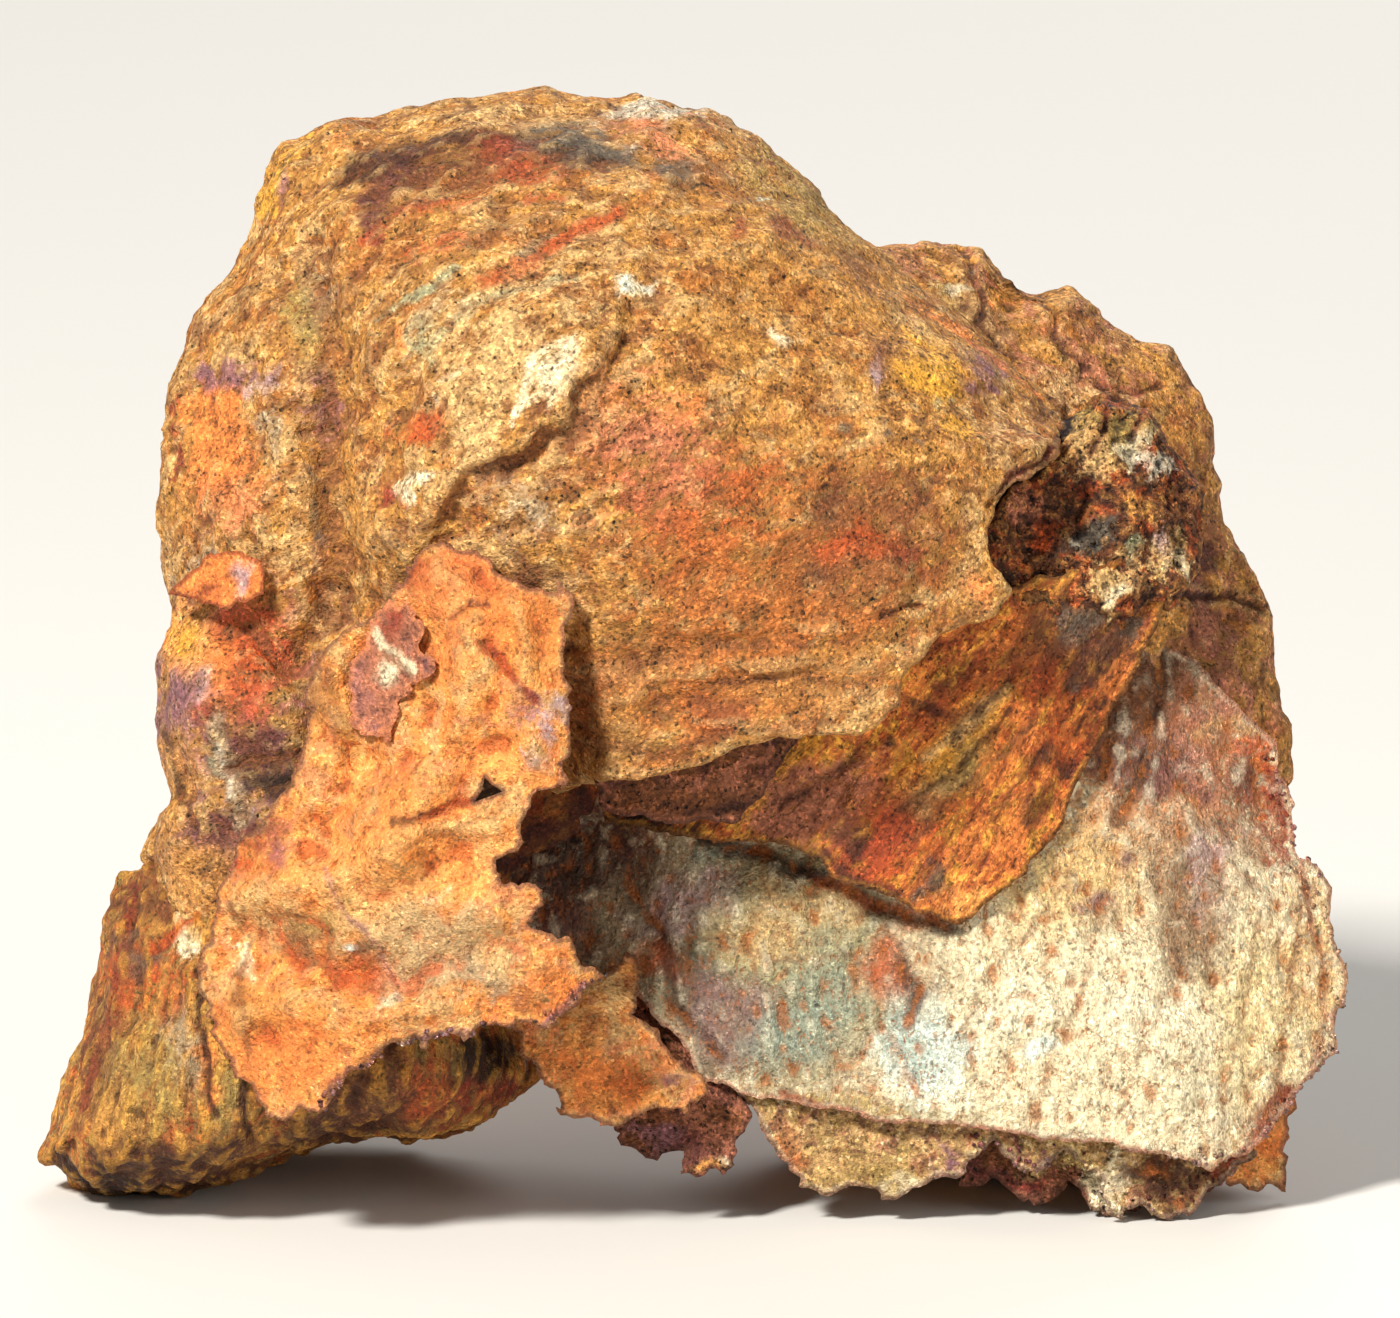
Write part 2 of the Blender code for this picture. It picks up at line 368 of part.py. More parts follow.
def reach(outline, middle, bearings):
    """How far an outline lies from its middle at each bearing."""
    rays = np.column_stack([np.cos(bearings), np.sin(bearings)])
    far = np.zeros(len(bearings))
    for start, end in zip(outline, np.roll(outline, -1, axis=0)):
        start, along = np.subtract(start, middle), np.subtract(end, start)
        cross = rays[:, 0] * along[1] - rays[:, 1] * along[0]
        cross = np.where(abs(cross) < 1e-9, 1e-9, cross)
        distance = (start[0] * along[1] - start[1] * along[0]) / cross
        share = (start[0] * rays[:, 1] - start[1] * rays[:, 0]) / cross
        hit = (share >= -1e-6) & (share <= 1 + 1e-6) & (distance > 0)
        far = np.where(hit, np.maximum(far, distance), far)
    return far


def to_world(points):
    """Places on the leaning face as places in the standing mass, in metres."""
    u, v, w = points.T
    x = u - MIDDLE[0]
    y = v * math.sin(LEAN) - w * math.cos(LEAN) - MIDDLE[1]
    z = v * math.cos(LEAN) + w * math.sin(LEAN)
    return np.column_stack([x, y, z]) * MM


def solid(name, points, faces, collection):
    """A closed object from places on the face."""
    mesh = bpy.data.meshes.new(name)
    mesh.from_pydata(to_world(points).tolist(), [], [tuple(int(i) for i in face) for face in faces])
    shaped = bmesh.new()
    shaped.from_mesh(mesh)
    bmesh.ops.recalc_face_normals(shaped, faces=shaped.faces)
    shaped.to_mesh(mesh)
    shaped.free()
    made = bpy.data.objects.new(name, mesh)
    collection.objects.link(made)
    return made


def spaced(path, step, closed=True):
    """Points along a path, about a step apart, with its corners kept."""
    points = []
    stops = [*path, path[0]] if closed else path
    for start, end in zip(stops, stops[1:]):
        start, end = np.array(start, float), np.array(end, float)
        pieces = max(1, round(np.hypot(*(end - start)) / step))
        points += [start + (end - start) * piece / pieces for piece in range(pieces)]
    return np.array(points)


def torn_edge(outline, seed):
    """An outline as close points, moved about a little as a torn edge is."""
    points = spaced(outline, RIM_STEP)
    flat = np.column_stack([points, np.zeros(len(points))])
    points[:, 0] += crumple(flat, RIM_CELL, RIM_TEAR, seed)
    points[:, 1] += crumple(flat, RIM_CELL, RIM_TEAR, seed + 5)
    return points


def even_points(outline, step):
    """Points on a grid of equal triangles that covers an outline's box."""
    low, high = np.min(outline, axis=0), np.max(outline, axis=0)
    rows = []
    for row in range(int((high[1] - low[1]) / (step * 0.87)) + 1):
        across = np.arange(low[0] + step / 2 * (row % 2), high[0], step)
        rows.append(np.column_stack([across, np.full(len(across), low[1] + row * step * 0.87)]))
    return np.concatenate(rows)


def beside(path, gap):
    """Points on both sides of a path, so that the mesh can step or fold there."""
    points = spaced(path, CREASE_STEP, closed=False)
    along = np.gradient(points, axis=0)
    across = np.column_stack([-along[:, 1], along[:, 0]]) / np.hypot(*along.T)[:, None]
    return np.concatenate([points + across * gap, points - across * gap])


def triangles(loops, inner):
    """Points inside the first loop and outside the others, joined into triangles."""
    at = np.concatenate([*loops, inner])
    edges = []
    first = 0
    for loop in loops:
        edges += [(first + i, first + (i + 1) % len(loop)) for i in range(len(loop))]
        first += len(loop)
    places, _, cells, _, _, _ = delaunay_2d_cdt([Vector(p) for p in at], edges, [], 0, 1e-5)
    at = np.array([tuple(place) for place in places])
    cells = np.array(cells)
    centres = at[cells].mean(axis=1)
    kept = inside(centres, loops[0])
    for hole in loops[1:]:
        kept &= ~inside(centres, hole)
    return at, cells[kept]


def two_sided(cells, count):
    """Faces of a closed skin: the cells, the same cells on a second layer, and a wall round them."""
    sides = {(cell[i], cell[(i + 1) % 3]) for cell in cells for i in range(3)}
    wall = [(a, a + count, b + count, b) for a, b in sorted(sides) if (b, a) not in sides]
    return [tuple(cell) for cell in cells] + [tuple(cell[::-1] + count) for cell in cells] + wall


def share_of(at, outline, middle):
    """How far each place lies out from the middle, as a share of the way to the outline."""
    out = at - np.array(middle, float)
    return np.hypot(*out.T) / reach(outline, middle, np.arctan2(out[:, 1], out[:, 0]))


def round_skin(share, level, rim, sharp):
    """A skin that starts at depth rim on the outline and swells to its level inside it."""
    return rim + (level - rim) * (1 - np.minimum(share, 1) ** sharp) ** 0.5


def lump(name, collection, outline, middle, height, back, rim, seed, sharp=LUMP_SHARP, rough=1.0, lip=None,
         step=LUMP_STEP, creases=()):
    """A pebble on its outline: a front through height, a back through back, and a round rim at
    depth rim. Between the two bearings of lip its edge is free, thin and undercut."""
    middle = np.array(middle, float)
    edge = spaced(outline, step * 0.7)
    rings = [middle + part * (edge - middle) for part in LUMP_RINGS]
    inner = np.concatenate([even_points(outline, step), *[beside(path, CREASE_GAP) for path in creases]])
    inner = inner[share_of(inner, outline, middle) < LUMP_RINGS[-1] - 0.06]
    at, cells = triangles([edge], np.concatenate([*[ring[inside(ring, edge)] for ring in rings], inner]))
    share = np.minimum(share_of(at, outline, middle), 1)
    share[:len(edge)] = 1
    top = round_skin(share, height(at), rim, sharp)
    low = round_skin(share, back(at), rim, sharp)
    if lip:
        bearings = np.degrees(np.arctan2(*(at - middle).T[::-1]))
        free = np.clip((lip[0] - bearings) / LIP_FADES[0], 0, 1) * np.clip((bearings - lip[1]) / LIP_FADES[1], 0, 1)
        free = free * free * (3 - 2 * free)
        top += (height(at) - top) * free
        under = np.maximum(top - np.interp(share, *np.transpose(LIP_PROFILE)), back(at))
        low += (under - low) * free
    top += crumple(np.column_stack([at, top]), LUMP_CELL, rough, seed)
    low += crumple(np.column_stack([at, low]), LUMP_CELL, rough, seed)
    low = np.minimum(low, top - LUMP_RIM)
    flat = np.column_stack([at, np.zeros(len(at))])
    sway = [crumple(flat, LUMP_CELL, rough, seed + 1), crumple(flat, LUMP_CELL, rough, seed + 2)]
    at = at + LUMP_SWAY * np.column_stack(sway)
    points = np.concatenate([np.column_stack([at, top]), np.column_stack([at, low])])
    return solid(name, points, two_sided(cells, len(at)), collection)


def back_of_mass(at):
    """Depth of the back of the whole mass."""
    depth = np.zeros(len(at))
    for _, outline, middle, _, back, rim, _, more in BROAD_LUMPS:
        sharp = more.get("sharp", LUMP_SHARP)
        skin = round_skin(share_of(at, outline, middle), surface(back)(at), rim, sharp)
        depth = np.where(inside(at, outline), np.minimum(depth, skin), depth)
    return depth


def leaf(name, collection, outline, height, thickness, seed, rough=0.6, holes=(), step=LEAF_STEP):
    """A thin sheet, bent to a height and cut to an outline."""
    loops = [torn_edge(outline, seed), *[np.array(hole, float) for hole in holes]]
    inner = even_points(outline, step)
    clear = inside(inner, loops[0])
    for loop in loops:
        clear &= from_path(inner, [*loop, loop[0]])[0] > step * (0.45 if loop is loops[0] else 0.3)
    for hole in loops[1:]:
        clear &= ~inside(inner, hole)
    at, cells = triangles(loops, inner[clear])
    top = height(at) + crumple(np.column_stack([at, np.zeros(len(at))]), LEAF_CELL, rough, seed)
    points = np.concatenate([np.column_stack([at, top]), np.column_stack([at, top - thickness])])
    return solid(name, points, two_sided(cells, len(at)), collection)


def floor_cutter(collection):
    """What is under the plane that the mass stands on."""
    bpy.ops.mesh.primitive_cube_add(size=1, location=(0, 0, -FLOOR_BOX[2] / 2 * MM))
    box = bpy.context.object
    box.name = "floor_cutter"
    box.data.transform(Matrix.Diagonal((*(side * MM for side in FLOOR_BOX), 1)))
    for owner in list(box.users_collection):
        owner.objects.unlink(box)
    collection.objects.link(box)
    return box


def combine(base, other, operation):
    modifier = base.modifiers.new(f"{operation.lower()} {other.name}", "BOOLEAN")
    modifier.operation = operation
    modifier.object = other
    modifier.solver = "EXACT"
    other.hide_render = True
    other.display_type = "WIRE"


def copper_material():
    material = bpy.data.materials.new("crusted_copper")
    material.use_nodes = True
    shader = material.node_tree.nodes["Principled BSDF"]
    shader.inputs["Base Color"].default_value = COPPER
    shader.inputs["Roughness"].default_value = 0.6
    shader.inputs["Metallic"].default_value = 0.5
    return material


def build():
    for old in list(bpy.data.objects):
        bpy.data.objects.remove(old)
    specimen = bpy.data.collections.new("native_copper")
    shapes = bpy.data.collections.new("shapes_joined_in")
    for collection in (specimen, shapes):
        bpy.context.scene.collection.children.link(collection)
    lumps = []
    for name, outline, middle, levels, back, rim, seed, more in LUMPS:
        owner = shapes if lumps else specimen
        height, creases = (dome_height, (SHELF, VALLEY)) if name == "dome" else (surface(levels), ())
        lumps.append(lump(name, owner, outline, middle, height, surface(back), rim, seed, creases=creases, **more))
    mass, *joined = lumps
    joined += [leaf(name, shapes, outline, surface(levels), *rest) for name, outline, levels, *rest in LEAVES]
    for number, (outline, stand) in enumerate(BACK_LEAVES):
        lift = surface(stand)
        joined.append(leaf(f"back_leaf_{number + 1}", shapes, outline,
                           lambda at: back_of_mass(at) + lift(at) + BACK_LEAF_LIFT,
                           BACK_LEAF_THICKNESS, BACK_LEAF_SEED + number, 0.5, step=BACK_LEAF_STEP))
    for shape in joined:
        combine(mass, shape, "UNION")
    combine(mass, floor_cutter(shapes), "DIFFERENCE")
    mass.data.materials.append(copper_material())


build()
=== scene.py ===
"""Native copper specimen: crumpled leaves of copper under an ochre crust, dressed around its CAD mass.

The mass is drawn on its leaning face, in millimetres: u runs to the right, v up and w out towards
the viewer. Lumps swell inside an outline and leaves are thin torn sheets cut to one. A stain is a
patch of a tone at a place on the face, and a mark is a line of a tone along a path there.
"""

import math

import bpy
import numpy as np
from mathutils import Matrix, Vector
from mathutils.geometry import delaunay_2d_cdt
from mathutils.kdtree import KDTree


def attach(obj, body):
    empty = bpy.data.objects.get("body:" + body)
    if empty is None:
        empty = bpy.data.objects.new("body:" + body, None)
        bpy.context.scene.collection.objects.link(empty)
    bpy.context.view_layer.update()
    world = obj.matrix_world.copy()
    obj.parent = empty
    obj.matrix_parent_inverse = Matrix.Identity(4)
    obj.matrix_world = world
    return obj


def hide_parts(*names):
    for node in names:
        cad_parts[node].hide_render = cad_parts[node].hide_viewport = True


bl_info = {
    "name": "Native copper specimen",
    "version": (1, 0, 0),
    "blender": (4, 5, 0),
    "location": "3D View > Sidebar > Copper",
    "description": "Builds a native copper specimen with its crust, torn leaves and stage",
    "category": "Add Mesh",
}

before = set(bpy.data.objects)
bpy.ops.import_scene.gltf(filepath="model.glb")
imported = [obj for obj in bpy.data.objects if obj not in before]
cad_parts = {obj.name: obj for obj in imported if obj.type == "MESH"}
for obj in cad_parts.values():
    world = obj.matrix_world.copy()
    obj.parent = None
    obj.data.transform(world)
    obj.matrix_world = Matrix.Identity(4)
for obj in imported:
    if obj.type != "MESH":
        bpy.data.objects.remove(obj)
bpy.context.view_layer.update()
MASS_NODE = "native_copper"

MM = 0.001
LEAN = math.radians(14)
MIDDLE = (-0.45, 20.15)  # what lies over the origin: along the face, and from its foot backwards
HASH_STEPS = (374761393, 668265263, 2147483647, 974634777)  # of a cell's three numbers and of the seed
HASH_MIX = 1274126177
NOISE_GROWTH = 2.03  # how much finer each next size of noise is
NOISE_SHIFT = 5.2
LEDGE_SHARE = 0.3  # of a flake's height that is its ledge
ROW_SHARE = 0.87  # height of a row of equal triangles, as a share of their side
LUMP_SHARP = 4.0  # the higher, the squarer a lump's rim
LUMP_STEP = 2.0  # between points on a lump before it is remeshed
EDGE_SHARE = 0.7  # of that step, between points on a lump's outline
LUMP_RINGS = (0.985, 0.96, 0.92, 0.86)  # lines of points inside a lump's rim, as shares of its outline
RING_GAP = 0.03  # between the innermost ring and the even points inside it
LUMP_RIM = 0.5  # thickness of a lump's edge
KNOT_VOXEL_SHARE = 0.8  # of the other lumps' voxel, because the knot is crumbly
LUMP_CELL = 9  # of the crumpling of a lump
LUMP_SWAY = 0.4  # how far crumpling moves a lump's points along the face, as a share of its height
LIP_PROFILE = ((0, 30), (0.6, 25), (0.76, 18), (0.8, 11), (0.86, 6), (0.94, 3.2), (1, 1.6))
LIP_FADES = (8, 14)  # degrees over which a free edge begins at each of its bearings
RIM_STEP = 0.4  # between points along a leaf's torn edge
RIM_CELL = 3
RIM_TEAR = 0.25
NOTCHES = ((1.5, 1, 60, 2), (0.8, 0.7, 70, 1))  # cell, depth as a share of the tear, seed and sizes
RIM_CLEAR = 0.55  # of the step between inner points, kept clear along the rim
THIN_LEAF = 2  # thickness under which a leaf tears more deeply
THIN_TEAR = 2.2  # how many times as deeply
LEAF_CELL = 8
LEAF_BACK_RELIEF = 0.25  # share of a leaf's relief that its back shows
LEAF_RIM_RELIEF = 0.35  # share of it at its torn edge
CURL_FADE = 1.6  # distance over which the curl of a torn edge fades
CURL_CELL = 4.5
CURL_MEAN = 0.4
RIM_FADE = 0.8  # distance over which the tint of a torn edge fades
CREASE_STEP = 1.2  # between points along a ledge or a groove
CREASE_GAP = 0.35  # from a ledge or a groove to the points beside it
BACK_LEAF_THICKNESS, BACK_LEAF_LIFT, BACK_LEAF_SEED = 5, 2, 40
BACK_FINISHES = ("back_crust", "bright_leaf", "rim_leaf", "back_crust")
FRONT_DEPTHS = (-14, -6)  # between which a skin turns from the back's stains to the front's
FACING = (0.1, 0.5)  # between which a normal turns from a side to the front
WAVER_SEED = 900
WAVES = ((0.7, 3.2, 0, 3), (0.25, 0.9, 5, 2))  # height, cell, seed and sizes of what sways a mark
STAIN_WAVES = ((2.4, 6, 0, 3), (1.0, 1.6, 20, 3))  # the same for a stain
STAIN_FADE = (1.6, 0.35)  # between which a stain fades in, in its half sizes
MARK_FADE = (1.7, 0.4)  # the same for a mark, in its half width
SIDE_SWAY = 0.15  # how much more a stain is swayed, for each millimetre behind the depth below
SIDE_DEPTH = 4
SIDE_REACH = 12  # millimetres over which that grows
PATCHES = (3.2, 40, 4, 0.65)  # cell, seed, sizes and fading of the patches in which stains and marks are strong
STAIN_PATCHES, MARK_PATCHES = (0.55, 0.9), (0.35, 1.1)  # strength outside the patches, and what they add
CRACK_TONES = ("black", "umber", "brick")  # marks of these tones are cut in as well
CRACK_WIDTH = 0.9  # of a crack, as a share of its mark's
HOLLOW_SHARES = (2.5, 1.5)  # of what lies close round a point and further out
STAIN_SEEDS = {"core": 410, "dome": 420, "flank": 430, "knot": 440, "block": 450, "leaf": 460, "back_leaf": 480}
CRYSTAL_SEED = 70
WALL_LINE = ((-37.5, 93), (-36.8, 84), (-36.4, 76), (-36.0, 67), (-37.4, 60), (-39.6, 56))
DOME_BEND = ((-33.4, 92), (-32.6, 84), (-32.6, 76), (-31.8, 68), (-31.4, 64))
FRONT_FOLDS = (  # path, half width and rise of each fold of the front leaf
    (((-26, 66), (-22.5, 57), (-24, 47), (-30, 37)), 2.6, 2.4),
    (((-33.5, 57), (-33, 46), (-38, 37)), 2.0, -1.8),
    (((-46, 32.5), (-36, 34), (-26, 38), (-17, 40)), 2.2, 1.8),
    (((-45, 28.6), (-36, 24.6), (-28, 24), (-18, 28)), 2.2, -1.7),
    (((-46, 20), (-40, 22), (-33, 20), (-26, 21)), 1.8, 1.6),
    (((-18.6, 63), (-17, 56), (-18.6, 49), (-15, 44)), 1.4, 1.2),
    (((-38.5, 49), (-32, 45), (-26, 45.4), (-19, 47)), 1.4, -1.1),
)
TONGUE_GRAIN = 50  # degrees from level of the ribs on the tongue
CHIP = ((-42.2, 30.2), (-38.4, 30.4), (-36.0, 28.8), (-36.4, 25.6), (-40.2, 25.0), (-41.4, 27.4))
CHIP_WAVES, CHIP_DEPTH = ((0.4, 1.6, 0, 2),), 0.5
KNOT_CRYSTALS = ((33, 61), (37, 66), (41, 68), (45, 66), (47, 71))
RIM_CRYSTALS = (
    (57.6, 46), (58.8, 40), (60.4, 35.6), (63, 31), (64.4, 25), (63.4, 18), (60, 13), (57, 9), (53, 5.6),
    (46, 6.6),
)
LOW_CRYSTALS = ((28, 8), (32, 5.6), (37, 7), (41, 2), (47, 2), (51, 4))
FRINGE_CRYSTALS = ((-38, 11), (-33, 15.4), (-28, 18.2), (-21, 19), (-15.6, 19.4), (-10, 24.4))
FLOOR_SIDE, FLOOR_PARTS, FLOOR_ROUGHNESS = 8.0, 8, 0.85
SIGHT_HEIGHT = 56.1  # millimetres up the face to the picture's middle
SIGHT_DISTANCE = 1.5
SIGHT_WIDTH = 0.14
SIGHT_TILT = 12
LAMPS = (  # name, place, side, power and colour
    ("key", (-0.75, -0.95, 1.2), 0.24, 43, (1.0, 0.96, 0.9)),
    ("fill", (1.1, -0.9, 0.6), 0.9, 6, (1.0, 0.97, 0.94)),
    ("back_light", (0.3, 1.2, 1.0), 0.8, 9, (1.0, 1.0, 1.0)),
)
LAMP_AIM = (0, 0, 0.055)
SKY = (1.0, 0.98, 0.95)
SKY_STRENGTH = 0.22
SENSOR = 36

# Edges are where a mask of a finish starts and is full, and shares are how much of a tone it then gives.

PATCH_EDGE, PATCH_SHARE = (0.5, 0.61), 0.7
MOTTLE_EDGE, MOTTLE_SHARE = (0.54, 0.7), 0.55
STAIN_EDGE, STAIN_SHARE = (0.22, 0.88), 0.95
VEIN_EDGE, VEIN_GAPS, VEIN_THIN = (0.1, 0.9), (0.38, 0.6), 30
# The hollow edge and share set the painted shade in the hollows; the crest share sets the paler crests.
HOLLOW_EDGE, HOLLOW_SHADE_SHARE, CREST_SHARE = (0.2, 0.9), 0.7, 0.3
RIM_EDGE = (0.45, 0.8)
DARK_GRAIN_EDGE, BRIGHT_GRAIN_EDGE = (0.8, 0.88), (0.84, 0.94)
BUMP_HEIGHT = 0.3
FULL_TURN = 6.28

# Outlines on the face, clockwise, and heights of the surface above it.

DOME_MIDDLE = (-10, 79)
DOME_OUTLINE = (
    (-55.7, 36.6), (-54.3, 40.6), (-53.1, 42), (-54.3, 47.8), (-54.9, 52.2), (-54.8, 56.1), (-54, 59.9),
    (-53.8, 63.4), (-54.5, 68.8), (-54.3, 76.1), (-53, 83.2), (-51.7, 87.3), (-50.8, 90.8), (-49.2, 93.4),
    (-46.8, 95.6), (-46, 98.1), (-44.9, 101), (-43.5, 105.5), (-42, 108), (-39.9, 109), (-37.7, 110.6),
    (-33.2, 111.2), (-27.2, 112.7), (-21.8, 113.6), (-15.4, 114.3), (-12.2, 113.6), (-8.4, 113), (-6.5, 113.4),
    (-4.6, 112.8), (-2, 111.5), (0.2, 111.5), (2.4, 110.7), (6.2, 108.5), (8.2, 106.4), (11.7, 103.9),
    (14.2, 101), (16.4, 98.8), (20, 95.8), (24, 92.5), (28.5, 89), (33, 85.5), (36.8, 82.5), (37.5, 80.8),
    (36.2, 78), (34.5, 75), (31, 73), (29.8, 70.8), (29, 68), (29.1, 66), (29.4, 64.5), (30.8, 62.4),
    (30.4, 61.2), (29.6, 59.9), (28.3, 58.9), (26.4, 58.8), (24.8, 58.2), (23.3, 57.2), (22.2, 56),
    (20.2, 54.9), (20, 53), (19.7, 51.5), (18.7, 50.7), (17.4, 49.4), (15.8, 48.1), (13.7, 48), (11.4, 47.9),
    (9.9, 47.1), (8, 47.6), (5.7, 46.7), (2.9, 45.9), (0.6, 44.6), (-2.9, 44.2), (-6.7, 43.6), (-9.8, 43.4),
    (-12.8, 43.2), (-16, 42), (-20, 40.5), (-26, 38.5), (-32, 37), (-40, 36), (-48, 35.8),
)
DOME_LEVELS = (
    (-8, 72, 27), (-25, 85, 23), (-38, 100, 13), (-20, 105, 13), (0, 100, 15), (10, 90, 19), (22, 80, 20),
    (33, 79, 14), (25, 66, 21), (15, 58, 23.5), (5, 52, 24), (-5, 50, 22), (-14, 48, 20), (-20, 60, 23),
    (-30, 70, 20), (-36, 76, 14), (-35, 62, 15), (-44, 70, 13), (-50, 75, 9), (-38, 50, 14), (-47, 50, 10),
    (-45, 90, 12), (-8, 110, 8),
)
DOME_BACK = ((-40, 60, -21), (20, 60, -21), (-10, 100, -21))
DOME_LIP = (4, -102)  # bearings from the dome's middle between which its edge is free
HEART_MIDDLE = (-2, 56)
HEART_OUTLINE = (
    (-46, 12), (-50, 30), (-51, 50), (-50, 70), (-47, 88), (-38, 101), (-22, 107), (-4, 105), (10, 97),
    (22, 90), (36, 86), (46, 78), (50, 62), (54, 46), (54, 26), (50, 10), (36, 4), (20, 7), (6, 17), (-8, 20),
    (-22, 16), (-34, 8),
)
HEART_LEVELS = ((-25, 60, 8), (20, 60, 4), (0, 30, -6), (0, 90, 6))
HEART_BACK = ((-30, 30, -28), (-30, 70, -31), (0, 60, -37), (0, 95, -27), (30, 70, -29), (35, 25, -30))
FLANK_MIDDLE = (28, 52)
FLANK_OUTLINE = (
    (10, 104), (16.4, 98.8), (19.8, 99.1), (23.3, 99.3), (25.5, 98.6), (28.4, 98.3), (29.7, 96.7), (30.9, 94.8),
    (33.5, 93.8), (37.3, 94), (39.2, 92.8), (40.5, 91.4), (42.4, 89.8), (45, 88.7), (47.2, 88.2), (48.2, 86.5),
    (50.4, 83.3), (51.7, 80.4), (52.1, 76.6), (53.4, 74.3), (52.8, 73.5), (53.6, 70.5), (54.9, 67.3),
    (55.8, 64.5), (56.5, 62.2), (57.3, 60), (57.9, 56.4), (58.9, 53.1), (60, 49.9), (60.2, 47.3), (60, 44.4),
    (59.6, 43.4), (59.6, 36.9), (59, 24), (57, 10), (50, 5), (40, 3.2), (28, 4), (18, 7), (8, 15), (-2, 26),
    (-8, 44), (-6, 70), (0, 92),
)
FLANK_LEVELS = (
    (18, 96, -3), (28, 92, -2), (37, 87, -3), (45, 79, -2), (50, 70, -6), (44, 62, 1), (54, 56, -5),
    (50, 45, -3), (58, 46, -8), (38, 72, 5), (35, 50, 2), (20, 40, 2), (30, 20, 0), (50, 20, -4), (5, 60, 0),
)
FLANK_BACK = ((20, 50, -28), (50, 60, -24), (45, 20, -28), (25, 90, -20), (10, 15, -28))
HEEL_MIDDLE = (20, 19)
HEEL_OUTLINE = (
    (3, 20), (7, 12), (11, 7), (15, 5), (20, 4.5), (25, 5.5), (31, 7.5), (37, 12), (40, 22), (36, 33), (26, 38),
    (14, 37), (5, 30),
)
HEEL_FRONT = ((12, 10, -12), (28, 10, -12), (20, 24, -12))
HEEL_BACK = ((10, 12, -31), (19, 9, -36), (29, 11, -33), (20, 22, -36), (34, 26, -31), (12, 32, -32))
BLOCK_MIDDLE = (-42, 20)
BLOCK_OUTLINE = (
    (-56, 36), (-57.8, 34.4), (-60, 30.2), (-60.5, 28), (-60.8, 24.2), (-61.1, 20.4), (-62.9, 15.9),
    (-64.2, 12.8), (-65, 9.6), (-66, 6.4), (-64.5, 5.7), (-63.2, 4.5), (-61.3, 3.2), (-56.8, 2.8), (-52.7, 2.9),
    (-48.9, 3.7), (-44.4, 5.1), (-41.5, 6.4), (-37.4, 8), (-32, 8.3), (-26.5, 8.1), (-22.1, 9.9), (-19.3, 11.5),
    (-16.7, 14.2), (-17.5, 20), (-22, 30), (-30, 40), (-42, 44), (-52, 41),
)
BLOCK_LEVELS = (
    (-61, 12, 6), (-58, 28, 3), (-50, 36, 5), (-45, 12, 11), (-35, 12, 12.5), (-26, 14, 12), (-19, 15, 7),
    (-45, 26, 9),
)
BLOCK_BACK = ((-57, 12, -24), (-46, 9, -33), (-33, 14, -33), (-45, 30, -26), (-25, 20, -30))
CHEEK_BACK = ((-50, 30, -16), (-40, 30, -16), (-45, 55, -16))
CHEEK_MIDDLE = (-46, 42)
CHEEK_OUTLINE = (
    (-54.9, 52.2), (-54.3, 47.8), (-53.1, 42), (-54.3, 40.6), (-55.5, 37), (-55, 33), (-53, 26), (-45, 23),
    (-37, 26), (-35, 36), (-35, 47), (-37.5, 56), (-43, 61), (-50, 61), (-54.6, 57),
)
CHEEK_LEVELS = (
    (-52, 52, 8), (-52, 40, 7), (-50, 34, 6.5), (-45, 50, 11), (-44, 38, 10.5), (-39, 44, 12.5), (-40, 54, 13),
    (-45, 30, 8.5),
)
KNOT_BACK = ((30, 60, -6), (48, 60, -6), (40, 80, -6))
KNOT_MIDDLE = (38.5, 65)
KNOT_OUTLINE = (
    (25.5, 64), (26, 70), (29, 76), (35, 79), (40, 82.5), (45, 80), (49, 75), (50.2, 70), (49.6, 65.5),
    (47.8, 61.8), (45, 61.2), (42, 58), (38, 56.8), (33, 58), (28, 60),
)
KNOT_LEVELS = (
    (31.5, 71, 10.5), (31, 66, 11.5), (38, 70, 6.5), (45, 71, 7), (48, 66, 5), (34.5, 64, 8.5), (35, 70, 6),
    (41, 63, 8.5), (37, 60, 8), (38, 78, 9), (45, 77, 5.5), (32, 74, 9.5),
)

RIGHT_LEAF = (
    (-24, 44), (-8, 47), (10, 50), (26, 56), (40, 60), (50, 56), (57.5, 48), (59.3, 42), (59.8, 36.6),
    (60.9, 36.5), (62.5, 34.9), (63.3, 32.6), (63.3, 29.4), (64.1, 26.8), (65.1, 24.2), (64.9, 21.6),
    (64, 20.8), (63.6, 18.6), (63.8, 17), (61.8, 15.1), (59.7, 12.8), (57.5, 9.5), (55, 7), (51, 5), (48, 5.7),
    (45, 6.5), (41, 7.4), (36, 8), (30, 8.8), (23, 9.5), (18, 9.9), (14, 10.7), (9, 11.7), (4, 12.7), (0.5, 14),
    (-6, 22), (-14, 22), (-26, 26),
)
RIGHT_LEVELS = (
    (-1, 37, 3), (13, 34, 4.5), (23, 30, 5.5), (35, 36, 3.5), (45, 52, -0.5), (57, 47, -6.5), (56, 32, -1.5),
    (64, 24, -5), (30, 17, 7), (50, 17, 3), (59, 12, -1.5), (40, 8, 5.5), (15, 11, 4.5), (1, 13.5, 3.5),
    (-6, 24, 2), (-14, 32, -1.5), (-20, 40, -2.5), (-25, 30, -3.5),
)
